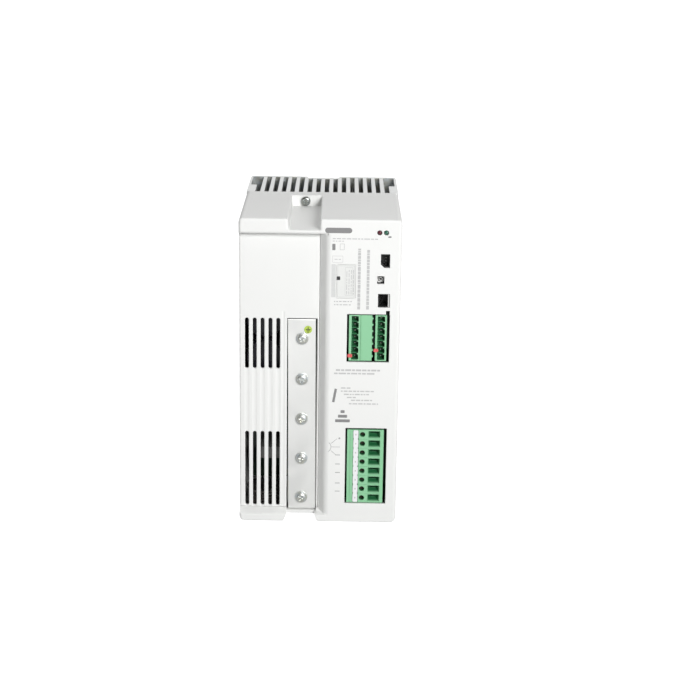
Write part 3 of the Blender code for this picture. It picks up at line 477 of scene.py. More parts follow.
GREEN = (0.29, 0.63, 0.365)
# painted shade: the dark green that the green plastic takes on inside its recesses
GREEN_PAINTED_SHADE = (0.03, 0.2, 0.075)
LOOKS = {
    "white": plastic("white_plastic", (0.86, 0.865, 0.85), 0.5, grain=0.3, darker=0.015),
    "green": plastic("green_plastic", GREEN, 0.45, grain=0.15),
    "black": plastic("black_plastic", (0.014, 0.014, 0.014), 0.4),
    "sleeve": plastic("capacitor_sleeve", (0.02, 0.02, 0.028), 0.3, grain=0.05),
    "cheek": plastic("light_grey_plastic", (0.6, 0.6, 0.58), 0.45),
    "sheath": plastic("sheath_plastic", (0.17, 0.17, 0.165), 0.5),
    "switch": plastic("switch_plastic", (0.86, 0.86, 0.84), 0.45),
    "marker": plastic("marker_white", (0.88, 0.88, 0.9), 0.5),
    "red": plastic("red_plastic", (0.78, 0.13, 0.13), 0.42),
    "label": plastic("label_film", (0.80, 0.81, 0.79), 0.38, grain=0.08, grain_scale=700),
    "yellow": plastic("earth_film", (0.50, 0.66, 0.10), 0.5, grain=0.1),
    "aluminium": drawn_metal("drawn_aluminium", (0.80, 0.81, 0.80), 0.38),
    "plate": drawn_metal("plate_aluminium", (0.95, 0.955, 0.94), 0.6, (1, 1, 0.015), lines=0.5, darker=0.05),
    "zinc": zinc(roughness=0.36),
    "top_zinc": zinc("top_screw_zinc", (0.4, 0.41, 0.4), 0.25),
    "rear_zinc": zinc("sheet_zinc", (0.66, 0.67, 0.66), 0.36),
    # painted shade: the clamp screws' metal is made nearly black for the shade of the deep wells they sit in
    "dark_screw": zinc("steel_with_painted_shade", (0.10, 0.09, 0.07), 0.4),
    "tin": zinc("tinned_contact", (0.70, 0.69, 0.64), 0.25),
    "board": circuit_board(),
    "copper": drawn_metal("enamelled_wire", (0.20, 0.19, 0.175), 0.35, along=(1, 1, 8), scale=500),
    "ferrite": plastic("ferrite", (0.05, 0.05, 0.055), 0.6, grain=0.5, grain_scale=900),
    "red_lens": lens("red_lens", (0.13, 0.016, 0.03)),
    "green_lens": lens("green_lens", (0.03, 0.16, 0.1)),
    "ink": printed("ink", (0.27, 0.27, 0.27)),
    "dark_ink": printed("dark_ink", (0.03, 0.03, 0.03)),
    "grey_ink": printed("mid_ink", (0.42, 0.42, 0.42)),
    "light_ink": printed("light_ink", (0.58, 0.58, 0.58)),
    "film": printed("print_film", (0.72, 0.73, 0.72)),
}
M = {key: nodes.material for key, nodes in LOOKS.items()}


# ---------------------------------------------------------------- camera, light and floor
def make_camera():
    """The view that the object is seen from: from the front, a little above and to the right."""
    data = bpy.data.cameras.new("camera")
    data.sensor_width = 36
    data.lens = 85.7
    data.clip_end = 100
    camera = bpy.data.objects.new("camera", data)
    pitch, roll = math.radians(16), math.radians(0.8)
    place = Matrix.Translation(Vector((14.5, -1289.2, 497.2)) * MM)
    tilt = Matrix.Rotation(math.pi / 2 - pitch, 4, "X")
    camera.matrix_world = place @ tilt @ Matrix.Rotation(roll, 4, "Z")
    bpy.context.scene.collection.objects.link(camera)
    bpy.context.scene.camera = camera


def make_area_light(name, at, aim, size, power):
    data = bpy.data.lights.new(name, "AREA")
    data.shape = "DISK"
    data.size = size
    data.energy = power
    light = bpy.data.objects.new(name, data)
    light.location = at
    light.rotation_euler = (Vector(aim) - Vector(at)).to_track_quat("-Z", "Y").to_euler()
    bpy.context.scene.collection.objects.link(light)


def make_world():
    """A white backdrop behind the object, which dims towards the front and the right."""
    world = bpy.data.worlds.new("studio")
    world.use_nodes = True
    nodes, links = world.node_tree.nodes, world.node_tree.links
    way = nodes.new("ShaderNodeTexCoord").outputs["Generated"]
    axes = nodes.new("ShaderNodeSeparateXYZ")
    links.new(way, axes.inputs["Vector"])
    right = nodes.new("ShaderNodeMath")
    right.operation = "MAXIMUM"
    right.inputs[1].default_value = 0
    links.new(axes.outputs["X"], right.inputs[0])
    back = nodes.new("ShaderNodeMath")
    back.operation = "MULTIPLY_ADD"
    back.inputs[1].default_value = -0.7
    links.new(right.outputs[0], back.inputs[0])
    links.new(axes.outputs["Y"], back.inputs[2])
    fall = nodes.new("ShaderNodeMapRange")
    for key, value in (("From Min", -0.3), ("From Max", 0.6), ("To Min", 0.16), ("To Max", 0.95)):
        fall.inputs[key].default_value = value
    links.new(back.outputs[0], fall.inputs["Value"])
    links.new(fall.outputs["Result"], nodes["Background"].inputs["Strength"])
    nodes["Background"].inputs["Color"].default_value = (1, 1, 1, 1)
    bpy.context.scene.world = world


def make_floor():
    """White paper; what it shows the camera is brighter than the light that it gives the object."""
    bm = bmesh.new()
    bmesh.ops.create_grid(bm, x_segments=1, y_segments=1, size=30)
    floor = shape("floor", bm)
    floor.location.z = -0.0002
    paper = Nodes("paper", (0.5, 0.5, 0.5), 0.9)
    paper.shader.inputs["Specular IOR Level"].default_value = 0.0
    paper.shader.inputs["Emission Color"].default_value = (1, 1, 1, 1)
    paper.link(paper.ramp(paper.add("ShaderNodeLightPath").outputs["Is Camera Ray"], 0, 1, 0.1, 1.0),
               paper.shader.inputs["Emission Strength"])
    floor.data.materials.append(paper.material)


def make_studio():
    bpy.context.scene.view_settings.view_transform = "Standard"
    make_world()
    make_floor()
    make_area_light("key_softbox", (0.78, -1.86, 1.05), (0, 0, 0.12), 0.8, 40)


make_camera()
make_studio()


# ---------------------------------------------------------------- hood
COVER_FACE = extent("power_cover")[0].y
COVER_TOP = 235
LEDGE = (6.0, 8.7)  # the foot's top, at its front and at the cover
NOTCH = (-24, -0.6)
NOTCH_FLARE = 0.5  # each side of the notch leans out by this much
NOTCH_FLOOR = 238.3
NOTCH_BACK = 4
OPENINGS = {  # (x, z, corner radius, lip)
    "headers": ((21.3, 54.3), (133.9, 172.5), 0.4, 0.45),
    "plug": ((21.4, 53.9), (16.1, 79.5), 0.4, 0.45),
    "button": ((43.9, 49.4), (196.8, 202.9), 0.4, 0.35),
    "jack": ((44.9, 54.0), (178.1, 188.9), 0.4, 0.35),
}


def hood_body(low, high):
    """The hood's outer block, each edge rounded by its own radius."""
    body = brick("hood_shell", (low.x, high.x), (FACE, high.y), (low.z, high.z))

    def width_of(at, way):
        at_front = at.y < FACE + 1
        if abs(way.y) > 0.9:
            return 4.0 if at.z < 1 else 3.5
        if abs(way.z) > 0.9 and at_front:
            return 2.4
        if abs(way.x) > 0.9 and at_front:
            return 1.8 if at.z > 1 else 1.2
        return 0

    return round_chosen(body, width_of, steps=6)


def recess_cutter():
    """The space in front of the cover; its floor slopes down towards the front."""
    flank = rounded_path([(-70, COVER_FACE, 0), (0.2, COVER_FACE, 1.2), (5.82, FACE - 0.02, 6.1),
                          (12, FACE - 0.02, 0), (12, FACE - PAST, 0), (-70, FACE - PAST, 0)], 14)
    recess = prism("recess", flank, (LEDGE[0], COVER_TOP), "Z")
    for vertex in recess.data.vertices:
        if vertex.co.z < COVER_TOP - 1:
            vertex.co.z += (vertex.co.y - FACE) * (LEDGE[1] - LEDGE[0]) / (COVER_FACE - FRONT)
    return recess


def chamfered(x, z, cut):
    """A function from how far it grows to a rectangle without its lower left corner."""
    def outline(grow=0):
        left, right, low, high = x[0] - grow, x[1] + grow, z[0] - grow, z[1] + grow
        return rounded_path([(right, high, 0.3), (left, high, 0.3), (left, low + cut, 0.2),
                             (left + cut, low, 0.2), (right, low, 0.3)], 3)
    return outline


def hood_openings():
    """Cutters through the front wall, with rounded lips."""
    through = (FACE, FRONT + 4)
    cutters = [mouth("opening_" + name, rectangle(x, z, radius), through, lip)
               for name, (x, z, radius, lip) in OPENINGS.items()]
    cutters.append(brick("key_notch", (51.3, 54.2), (FRONT - 2, through[1]), (172, 175.6)))
    cutters.append(mouth("opening_aux", chamfered((46.5, 53.5), (209.5, 220.3), 2.6), through, 0.3))
    for light in ("status_light_red", "status_light_green"):
        at = centre_of(light)
        cutters.append(mouth("light_hole", circle(at.x, at.z, 1.95), through, 0.3))
    x, _, z = across("rating_label")
    around_label = rectangle((x[0] - 0.3, x[1] + 0.3), (z[0] - 0.3, z[1] + 0.3), 1.0)
    cutters.append(mouth("label_recess", around_label, (FACE, FRONT + 0.6), 0.15))
    return cutters


def hood_cavities(low, high):
    """The space inside the hood for the boards and the heatsink's base."""
    inside = (low.x + 2, high.x - 2)
    back = high.y + PAST
    top = high.z - 2
    ranges = (
        (inside, (FRONT + 13, back), (6.2, NOTCH_FLOOR - 2)),
        ((inside[0], -2), (FRONT, FRONT + 14), (9.2, 232.8)),
        ((-25.2, -1.5), (FRONT, FRONT + 14), (6.6, 11)),
        ((inside[0], NOTCH[0] - 2), (FRONT + 2, back), (COVER_TOP + 2, top)),
        ((11, inside[1]), (FRONT + 2, FRONT + 14), (2, top)),
        ((5.6, 11.5), (FRONT + 5.2, FRONT + 14), (10, 232.8)),
        ((1.4, inside[1]), (FRONT + 13, back), (NOTCH_FLOOR - 3, top)),
        ((inside[0], -29), (FRONT + 2, back), (2, 4.2)),
        ((inside[0], -29), (FRONT + 13, back), (2, 7)),
        ((2, inside[1]), (FRONT + 13, back), (2, 7)),
        (inside, (NOTCH_BACK + 2, back), (2, top)),
    )
    return [brick("cavity", *each) for each in ranges]


def leaning_bit(side):
    """A cutter that rounds the front edge of one side of the notch, which leans outwards."""
    out = (-1, 1)[side]
    cutter = bit("notch_side", "Z", (NOTCH_FLOOR + 0.2, 250), (NOTCH[side], FACE), (out, 1), 2.4)
    for vertex in cutter.data.vertices:
        vertex.co.x += out * NOTCH_FLARE * (vertex.co.z - NOTCH_FLOOR) / (247 - NOTCH_FLOOR)
    return cutter


def make_hood():
    low, high = extent("hood")
    body = hood_body(low, high)
    over = high.z + 0.02
    left, right = NOTCH[0] - NOTCH_FLARE, NOTCH[1] + NOTCH_FLARE
    notch = rounded_path([(NOTCH[0], NOTCH_FLOOR, 1.2), (left, over, 1.2), (left - 5, over, 0),
                          (left - 5, over + PAST, 0), (right + 5, over + PAST, 0), (right + 5, over, 0),
                          (right, over, 1.6), (NOTCH[1], NOTCH_FLOOR, 1.2)])
    under = -0.02
    foot_notch = rounded_path([(-25.9, 4, 1), (-27.4, under, 2.5), (-34, under, 0), (-34, -PAST, 0),
                               (6, -PAST, 0), (6, under, 0), (-0.4, under, 2.5), (-1.8, 4, 1)])
    foot_gap = [(-26, 3), (-24.3, 9), (-3.2, 9), (-1.7, 3)]
    carve(body, prism("notch", notch, (FRONT - PAST, NOTCH_BACK)),
          prism("foot_notch", foot_notch, (FRONT - PAST, NOTCH_BACK)),
          recess_cutter(), prism("foot_gap", foot_gap, (FRONT - PAST, COVER_FACE + 0.01)))
    carve(body, bit("floor_front", "X", (NOTCH[0] - 0.5, NOTCH[1] + 0.5), (FACE, NOTCH_FLOOR), (1, -1), 1.6),
          bit("block_front", "X", (-70, 6.5), (FACE, COVER_TOP), (1, 1), 2.2),
          bit("ledge_front", "X", (-70, -20), (FACE, LEDGE[0] + 0.15), (1, -1), 1.2),
          *[leaning_bit(side) for side in (0, 1)])
    carve(body, *hood_cavities(low, high))
    seat = (COVER_FACE + 2.7, LEDGE[1] + 0.3, COVER_TOP - 0.3)
    carve(body, brick("cover_seat", (-70, 0.1), (FRONT - 4, seat[0]), seat[1:]),
          brick("return_seat", (-70, low.x + 2.3), (FRONT - 4, COVER_FACE + 12.3), seat[1:]),
          *hood_openings())
    screw = centre_of("hood_screw")
    carve(body, prism("screw_hole", circle(screw.x, screw.z, 1.8)(), (NOTCH_BACK - 6, NOTCH_BACK + 6)))
    done(body, M["white"], "drive", "white_plastic", "hood")


# ---------------------------------------------------------------- cover, plate and labels
SLOT_FIRST = -56.7  # the middle of the leftmost slot
SLOT_PITCH = 6.12
SLOT_WIDTH = 3.0
SLOT_ROWS = ((10.3, 73.2), (125.2, 166.4))
GROOVE_DEPTH = (0.3, 0.35)  # of the groove beside the plate, and of the flutes between the slots


def make_cover():
    x, y, z = across("power_cover")
    inner = COVER_FACE + 2.4
    cover = brick("cover_shell", x, (y[0], inner), z)

    def width_of(at, way):
        if at.y > y[0] + 0.5 or abs(way.y) > 0.9:
            return 0
        if abs(way.z) > 0.9:
            return 1.6 if at.x < -50 else 0.5
        return 1.9 if at.z > 100 else 0.5

    round_chosen(cover, width_of)
    weld(cover, brick("cover_side", (x[0], x[0] + 2), (y[0] + 1.9, y[1]), z))
    opening = rectangle((-25.2, -1.5), (z[0] - 20, 166.4), 0.3)
    cutters = [mouth("plate_opening", opening, (COVER_FACE, inner + 5), 0.7, 4),
               lathe("rim_groove", (-28.2, COVER_FACE - 3 + GROOVE_DEPTH[0], 0),
                     [(0, 174), (3, 172), (3, -2), (0, -2)], 96, "Z")]
    for column in range(5):
        at = SLOT_FIRST + column * SLOT_PITCH
        flute = [(0, 174.5), (3, 173.2), (5, 170.5), (6, 166), (6, -2), (0, -2)]
        cutters.append(lathe("flute", (at, COVER_FACE - 6 + GROOVE_DEPTH[1], 0), flute, 96, "Z"))
        half = SLOT_WIDTH / 2
        for bottom, top in SLOT_ROWS:
            cutters.append(mouth("slot", rectangle((at - half, at + half), (bottom, top), half - 0.01, 8),
                                 (COVER_FACE + 0.3, inner + 5), 0.35))
    carve(cover, *cutters)
    done(cover, M["white"], "drive", "white_plastic", "power_cover")


PLATE_PLAY = 0.35  # degrees that the plate hangs askew in its opening


def make_plate():
    x, y, z = across("earthing_plate")
    plate = brick("ground_plate", x, (y[0], y[0] + 2), z)
    weld(plate, brick("plate_lip", x, (y[0] + 1, y[1]), (z[1] - 2, z[1])))

    def width_of(at, way):
        if at.y > y[0] + 0.1:
            return 0
        return 1.9 if abs(way.x) > 0.9 and at.z > 100 else 0.35

    round_chosen(plate, width_of, 6)
    middle = sum(x) / 2
    screws = [centre_of(f"plate_screw_{number}") for number in range(1, 6)]
    carve(plate, *[prism("hole", circle(middle, at.z, 2.3)(), (y[0] - 1, y[0] + 4)) for at in screws])
    centre = Vector((middle, 0, sum(z) / 2))
    plate.data.transform(Matrix.Translation(-centre))
    spin(plate, centre, math.radians(-PLATE_PLAY))
    done(plate, M["plate"], "drive", "aluminium", "earthing_plate")


def pan_screw(name, node, metal="zinc", washer=False, sides=40):
    """A cross-recessed pan-head screw, and under its head a washer and a split spring washer."""
    x, y, z = across(node)
    centre = (sum(x) / 2, 0, sum(z) / 2)
    radius = 3.7 if washer else (x[1] - x[0]) / 2
    head = 1.9 if washer else 2.8
    crown = [(0, y[0])]
    for step in range(1, 7):
        angle = math.pi / 2 * step / 6
        crown.append((radius * (0.5 + 0.5 * math.sin(angle)), y[0] + head * 0.55 * (1 - math.cos(angle))))
    seat = y[0] + head
    shank = 2.0 if washer else 1.5
    profile = crown + [(radius, seat - 0.2), (radius - 0.2, seat), (shank, seat), (shank, y[1] - 0.8),
                       (shank - 0.7, y[1]), (0, y[1])]
    screw = lathe(name, centre, profile, sides)
    arm, width = radius * 0.62, radius * 0.13
    depth = (y[0] - 1, y[0] + head * 0.7)
    cross = [spin(brick("cross", (-arm, arm), depth, (-width, width)), centre, turn)
             for turn in (0.35, 0.35 + math.pi / 2)]
    cone = lathe("cross_middle", centre, [(0, depth[0]), (radius * 0.34, depth[0]), (radius * 0.2, depth[1]),
                                          (0, depth[1])], 16)
    carve(screw, *cross, cone)
    done(screw, M[metal], "drive", "zinc_steel", node)
    if not washer:
        return
    spring = lathe(name + "_spring_washer", centre,
                   [(2.1, seat + 0.02), (3.5, seat + 0.02), (3.6, seat + 0.12), (3.6, seat + 0.6),
                    (2.1, seat + 0.6), (2.1, seat + 0.02)], sides)
    carve(spring, spin(brick("split", (-0.25, 0.25), (seat - 1, seat + 1.5), (0, 5)), centre, 2.1))
    done(spring, M["zinc"], "drive", "zinc_steel")
    flat = lathe(name + "_washer", centre,
                 [(2.2, seat + 0.65), (4.6, seat + 0.65), (4.85, seat + 0.8), (4.9, seat + 1.55),
                  (2.2, seat + 1.55), (2.2, seat + 0.65)], sides)
    done(flat, M["zinc"], "drive", "zinc_steel")


def make_screws():
    for number in range(1, 6):
        pan_screw(f"ground_screw_{number}", f"plate_screw_{number}", washer=True)
    pan_screw("top_screw", "hood_screw", "top_zinc")


FLANK = (9, 6.1, math.radians(54.7))  # where the control section's face ends, its radius and its turn


def control_face(u):
    """How far back the control section's front lies at u: flat, then round, then slanted."""
    end, radius, turn = FLANK
    if u > end:
        return FACE
    start = end - radius * math.sin(turn)
    if u > start:
        return FACE + radius - math.sqrt(radius ** 2 - (end - u) ** 2)
    return FACE + radius * (1 - math.cos(turn)) + (start - u) * math.tan(turn)


def flat(y):
    """A face that is flat, at y."""
    return lambda u: y


def print_marks(name, outlines, ink, slot, face=control_face, body="drive", lift=0.025):
    """Flat printed shapes that lie a hair in front of a face."""
    bm = bmesh.new()
    for outline in outlines:
        polygon = bm.faces.new([bm.verts.new((u, face(u) - lift, v)) for u, v in outline])
        polygon.normal_update()
        if polygon.normal.y > 0:
            polygon.normal_flip()
    mesh = bpy.data.meshes.new(name)
    bm.to_mesh(mesh)
    bm.free()
    marks = bpy.data.objects.new(name, mesh)
    bpy.context.scene.collection.objects.link(marks)
    return done(marks, M[ink], body, slot)


def bar(u, v, radius=0.15):
    return rectangle(u, v, radius, 2)()


def dashes(x, z, seed, short=1.0, long=4.0, gap=0.7):
    """A line of print as word-like bars between two ends: nothing that can be read."""
    dice = random.Random(seed)
    found = []
    at = x[0]
    while at < x[1] - short:
        end = min(at + dice.uniform(short, long), x[1])
        found.append(bar((at, end), z))
        at = end + gap
    return found


def turned(outlines):
    """Outlines with their two coordinates exchanged, for print that runs upwards."""
    return [[(v, u) for u, v in outline] for outline in outlines]


def ring(u, v, radius, width, sides=40):
    """A thin ring as a row of short quads."""
    outer, inner = circle(u, v, radius, sides)(), circle(u, v, radius - width, sides)()
    return [[outer[i - 1], outer[i], inner[i], inner[i - 1]] for i in range(sides)]


def stroke(start, end, width=0.35):
    """A straight line of print between two points."""
    first, last = Vector(start), Vector(end)
    side = (last - first).normalized().orthogonal() * width / 2
    return [tuple(first + side), tuple(last + side), tuple(last - side), tuple(first - side)]


def box_lines(x, z, width=0.25):
    """A rectangle's outline as four strokes."""
    corners = [(x[0], z[0]), (x[1], z[0]), (x[1], z[1]), (x[0], z[1])]
    return [stroke(corners[i], corners[(i + 1) % 4], width) for i in range(4)]


def strips(x, z, count):
    """A rectangle as upright strips, which can follow a round face."""
    edges = [x[0] + (x[1] - x[0]) * n / count for n in range(count + 1)]
    return [[(left, z[0]), (right, z[0]), (right, z[1]), (left, z[1])]
            for left, right in zip(edges, edges[1:])]


def make_labels():
    x, y, z = across("earth_label")
    u, _, v = centre_of("earth_label")
    disc = tile("ground_mark", circle(u, v, (x[1] - x[0]) / 2, 40), (y[0] + 0.05, y[1]), 0.05)
    done(disc, M["yellow"], "drive", "earth_yellow", "earth_label")
    marks = [bar((u - half, u + half), (v + up - 0.3, v + up + 0.3), 0.1)
             for half, up in ((1.9, 0.2), (1.3, -0.9), (0.7, -2.0))]
    marks.append(bar((u - 0.3, u + 0.3), (v + 0.5, v + 2.3), 0.1))
    print_marks("ground_mark_print", marks, "dark_ink", "earth_yellow", flat(y[0] + 0.05))
    x, y, z = across("rating_label")
    label = tile("name_plate", rectangle(x, z, 0.9), y, 0.06)
    done(label, M["label"], "drive", "label_foil", "rating_label")
    lines = box_lines((x[0] + 0.9, x[1] - 0.9), (z[0] + 0.9, z[1] - 0.9), 0.2)
    lines += box_lines((x[0] + 6.6, x[1] - 2.0), (z[0] + 2.2, z[1] - 2.2), 0.2)
    for number in range(4):
        at = x[0] + 7.6 + number * 1.7
        lines += turned(dashes((z[0] + 3, z[1] - 4), (at, at + 0.5), 40 + number, 1, 5))
    print_marks("name_plate_print", lines, "light_ink", "label_foil", flat(y[0]), lift=0.01)
    square = [bar((12.9, 15.5), (199.6, 202.5))]
    print_marks("name_plate_square", square, "dark_ink", "label_foil", flat(y[0]), lift=0.012)


def make_print():
    """Generic grey marks on the control section, in place of names, signs and lettering."""
    white = "marker_white"
    heading = [rectangle((3.6, 24.2), (236.3, 240.5), 2.0)()]
    print_marks("print_heading", heading, "ink", white, flat(FACE))
    print_marks("print_film", strips((2.7, 12.0), (186, 212), 16), "film", white, lift=0.012)
    dark = [bar((51.8, 54.2), (233.2, 234.4), 0.3)]
    dark += [bar((4.3, 6.7), (223.0, 228.0), 0.4), bar((9.2, 11.6), (223.0, 228.0), 0.4)]
    print_marks("print_dark", dark, "ink", white)
    pale = dashes((9.4, 44), (231.6, 232.4), 3, 1.5, 5) + dashes((9.4, 18), (229.8, 230.5), 4)
    pale += box_lines((15.2, 18.4), (223.4, 228.0), 0.35) + box_lines((9.6, 17.4), (213.5, 218.5), 0.25)
    pale += dashes((11, 16), (215.6, 216.2), 9)
    for x, seed in (((29.0, 31.2), 5), ((35.9, 38.0), 6)):
        pale += turned(dashes((176.5, 224.5), x, seed, 0.8, 3.5, 0.4))
    pale += dashes((13.2, 49.6), (126.6, 128.0), 7, 2, 6) + dashes((11.7, 45.0), (124.0, 125.2), 8, 2, 6)
    lines = ((17.3, 25.9, 112.2), (17.3, 43.9, 109.6), (19.7, 39.3, 107.0), (22.1, 29.1, 104.5),
             (25.3, 43.3, 102.2), (23.7, 48.0, 99.3))
    for number, (left, right, low) in enumerate(lines):
        pale += dashes((left, right), (low, low + 1.0), 20 + number)
    pale += dashes((11.0, 26.0), (182.2, 183.0), 31) + dashes((11.0, 24.0), (179.6, 180.4), 32)
    print_marks("print_fine", pale, "light_ink", white)
    tiles = [stroke((13.4, 112.0), (11.4, 101.0), 1.9)]
    tiles += [bar((18.9 - half, 18.9 + half), (low, low + 2.4), 0.4)
              for half, low in ((1.6, 92.0), (3.6, 88.2), (5.8, 84.4))]
    print_marks("print_tiles", tiles, "ink", white)
    wiring = ring(5.4, 63.7, 4.9, 0.4) + [bar((3.6, 7.0), (64.6, 65.3)), bar((4.2, 6.4), (62.0, 62.7))]
    wiring += [stroke((10.2, 66.6), (14.8, 70.6)), stroke((10.4, 63.7), (17.2, 63.7)),
               stroke((10.0, 60.6), (14.0, 57.2))]
    wiring += [bar((16.0, 17.4), (70.3, 71.6), 0.3)]
    wiring += [bar((13.6, 17.4), (at - 0.3, at + 0.3)) for at in (57.0, 49.4, 42.2, 33.3, 26.4)]
    print_marks("print_wiring", wiring, "grey_ink", white)


# ---------------------------------------------------------------- control section's fittings
def make_lights():
    for name in ("red", "green"):
        node = "status_light_" + name
        x, y, z = across(node)
        radius = (x[1] - x[0]) / 2
        tip = y[0] + 0.1
        angles = [math.pi / 2 * step / 8 for step in range(1, 9)]
        dome = [(0, tip)] + [(radius * math.sin(a), tip + 1.2 * (1 - math.cos(a))) for a in angles]
        body = lathe(name + "_lamp", (sum(x) / 2, 0, sum(z) / 2), dome + [(radius, y[1]), (0, y[1])], 40)
        done(body, M[name + "_lens"], "drive", name + "_lens", node)


def make_aux_port():
    x, y, z = across("aux_port")
    port = tile("service_port", chamfered(x, z, 2.6), y, 0.25)
    inner = chamfered((x[0] + 0.7, x[1] - 0.7), (z[0] + 0.7, z[1] - 0.7), 2.2)
    carve(port, mouth("hollow", inner, (y[0], y[0] + 8), 0.2))
    done(port, M["black"], "drive", "black_plastic", "aux_port")
    middle = sum(z) / 2
    pins = [contact_pin((50.52, y[0] + 5, middle + (n - 1.5) * 2.54), 0.32, 3.2) for n in range(4)]
    done(joined("service_port_pins", pins), M["tin"], "drive", "zinc_steel")


def contact_pin(tip, half, length):
    """A square pin with a tapered tip, pointing to the front."""
    x, y, z = tip
    taper = half * 0.5
    rings = []
    for size, at in ((taper, y), (half, y + half * 1.6), (half, y + length)):
        rings.append([(x + u * size, at, z + v * size) for u, v in ((-1, -1), (1, -1), (1, 1), (-1, 1))])
    return loft("pin", rings)


def make_button():
    x, y, z = across("reset_switch")
    middle = (sum(x) / 2, sum(z) / 2)
    body = tile("push_switch", rectangle(x, z, 0.35), y, 0.25)
    carve(body, mouth("bush", circle(*middle, 1.85), (y[0], y[0] + 2.5), 0.2))
    rivets = [tile("rivet", circle(middle[0] + sx * 2.35, middle[1] + sz * 2.35, 0.35, 12),
                   (y[0] - 0.12, y[0] + 0.2), 0.1) for sx in (-1, 1) for sz in (-1, 1)]
    done(body, M["switch"], "drive", "grey_plastic", "reset_switch")
    done(joined("push_switch_rivets", rivets), M["black"], "drive", "black_plastic")
    x, y, z = across("reset_button")
    middle = (sum(x) / 2, sum(z) / 2)
    plunger = tile("push_plunger", circle(*middle, 1.5, 32), y, 0.35)
    carve(plunger, mouth("push_dimple", circle(*middle, 0.95, 32), (y[0], y[0] + 1.2), 0.2))
    done(plunger, M["switch"], "button", "black_plastic", "reset_button")
    tip = tile("push_dimple_floor", circle(*middle, 0.9, 24), (y[0] + 0.4, y[0] + 1.1), 0.1)
    done(tip, M["black"], "button", "black_plastic")


CONTACT_PITCH = 1.02


def make_jack():
    x, y, z = across("network_jack")
    shell_x = (x[0], 52.5)
    jack = tile("jack_shell", rectangle(shell_x, z, 0.3), y, 0.2)
    carve(jack, mouth("hollow", rectangle((x[0] + 0.6, shell_x[1] - 0.4), (z[0] + 0.6, z[1] - 0.6), 0.2),
                      (y[0], y[0] + 12), 0.15))
    combs = [z[0] + 1.0 + number * CONTACT_PITCH for number in range(9)]
    weld(jack, *[brick("comb", (x[0] + 0.3, x[0] + 1.5), (y[0] + 3, y[0] + 12.2), (at - 0.13, at + 0.13))
                 for at in combs])
    done(jack, M["black"], "drive", "black_plastic", "network_jack")
    path = [(x[0] + 0.9, y[0] + 3.2), (x[0] + 1.3, y[0] + 3.0), (x[0] + 3.4, y[0] + 10.5),
            (x[0] + 3.1, y[0] + 10.7)]
    springs = [prism("spring", path, (at + 0.31, at + 0.71), "Z") for at in combs[:-1]]
    done(joined("jack_contacts", springs), M["tin"], "drive", "zinc_steel")
    cheek = tile("jack_cheek", rectangle((shell_x[1] + 0.05, x[1]), z, 0.3), (y[0] + 0.1, y[1]), 0.2)
    done(cheek, M["cheek"], "drive", "grey_plastic")


# ---------------------------------------------------------------- control terminals
CONTROL_PITCH = 5.08


def poles(z, count, pitch):
    """The heights of a terminal block's poles, from the lowest up."""
    return [sum(z) / 2 + (n - (count - 1) / 2) * pitch for n in range(count)]


def make_header(name, node, trough_x, inner=None, groove=None):
    """A pin header: an open trough, scalloped along its right side, with low ribs between poles."""
    x, y, z = across(node)
    header = brick(name, (x[0], x[1] if inner is None else inner), y, z)
    soften(header, 0.25, 2)
    rows = poles(z, 7, CONTROL_PITCH)
    half = CONTROL_PITCH / 2
    floor = y[0] + 8
    corners = [(trough_x[0], rows[0] - half + 0.15, 0.3)]
    for at in rows:
        corners += [(trough_x[1] - 1.2, at - half + 0.12, 0.12), (trough_x[1], at - half + 0.5, 0.7),
                    (trough_x[1], at + half - 0.5, 0.7), (trough_x[1] - 1.2, at + half - 0.12, 0.12)]
    corners.append((trough_x[0], rows[-1] + half - 0.15, 0.3))
    cutters = [prism("trough", rounded_path(corners, 3), (y[0] - 2, floor))]
    if groove:
        cutters.append(brick("groove", groove, (y[0] - 1, y[0] + 0.7), (z[0] - 1, z[1] + 1)))
    carve(header, *cutters)
    rib_x, rib_y = (trough_x[0] - 0.3, trough_x[1] + 0.3), (y[0] + 3.0, floor + 0.3)
    weld(header, *[brick("rib", rib_x, rib_y, (at + half - 0.3, at + half + 0.3)) for at in rows[:-1]])
    pins = [contact_pin((sum(trough_x) / 2, y[0] + 4.6, at), 0.5, 4) for at in rows]
    done(joined(name + "_pins", pins), M["tin"], "drive", "zinc_steel")
    return header


def make_headers():
    x, y, z = across("control_header_left")
    right = 40.9
    left = make_header("signal_header_left", "control_header_left", (24.9, 30.4), right, groove=(31.8, 32.2))
    teeth = []
    for at in poles(z, 7, CONTROL_PITCH):
        wedge = [(right - 0.6, at - 0.9), (right + 0.9, at + 0.1), (right + 0.9, at + 0.9),
                 (right - 0.6, at + 1.7)]
        teeth.append(prism("tooth", wedge, (y[0] + 0.35, y[0] + 6)))
    weld(left, *teeth)
    header = make_header("signal_header_right", "control_header_right", (45.0, 50.8))
    for side, body in (("left", left), ("right", header)):
        # painted shade: the troughs darken towards the dark green the deeper they go
        green = painted_recess_shade("header_green_painted_shade_" + side, GREEN, GREEN_PAINTED_SHADE, y[0], (0.2, 2.4)).material
        done(body, green, "drive", "green_plastic", "control_header_" + side)
    for side in ("left", "right"):
        node = "coding_tab_" + side
        x, y, z = across(node)
        tab = tile("code_rider_" + side, rectangle(x, z, 1.1), y, 0.35)
        carve(tab, brick("slit", (sum(x) / 2 + 0.6, sum(x) / 2 + 0.9), (y[0] - 1, y[0] + 0.3), z))
        done(tab, M["red"], "drive", "red_plastic", node)


# ---------------------------------------------------------------- power terminals
POWER_PITCH = 7.62
SOCKET_X = 28.5  # where the plug's contacts meet the fixed half's pins


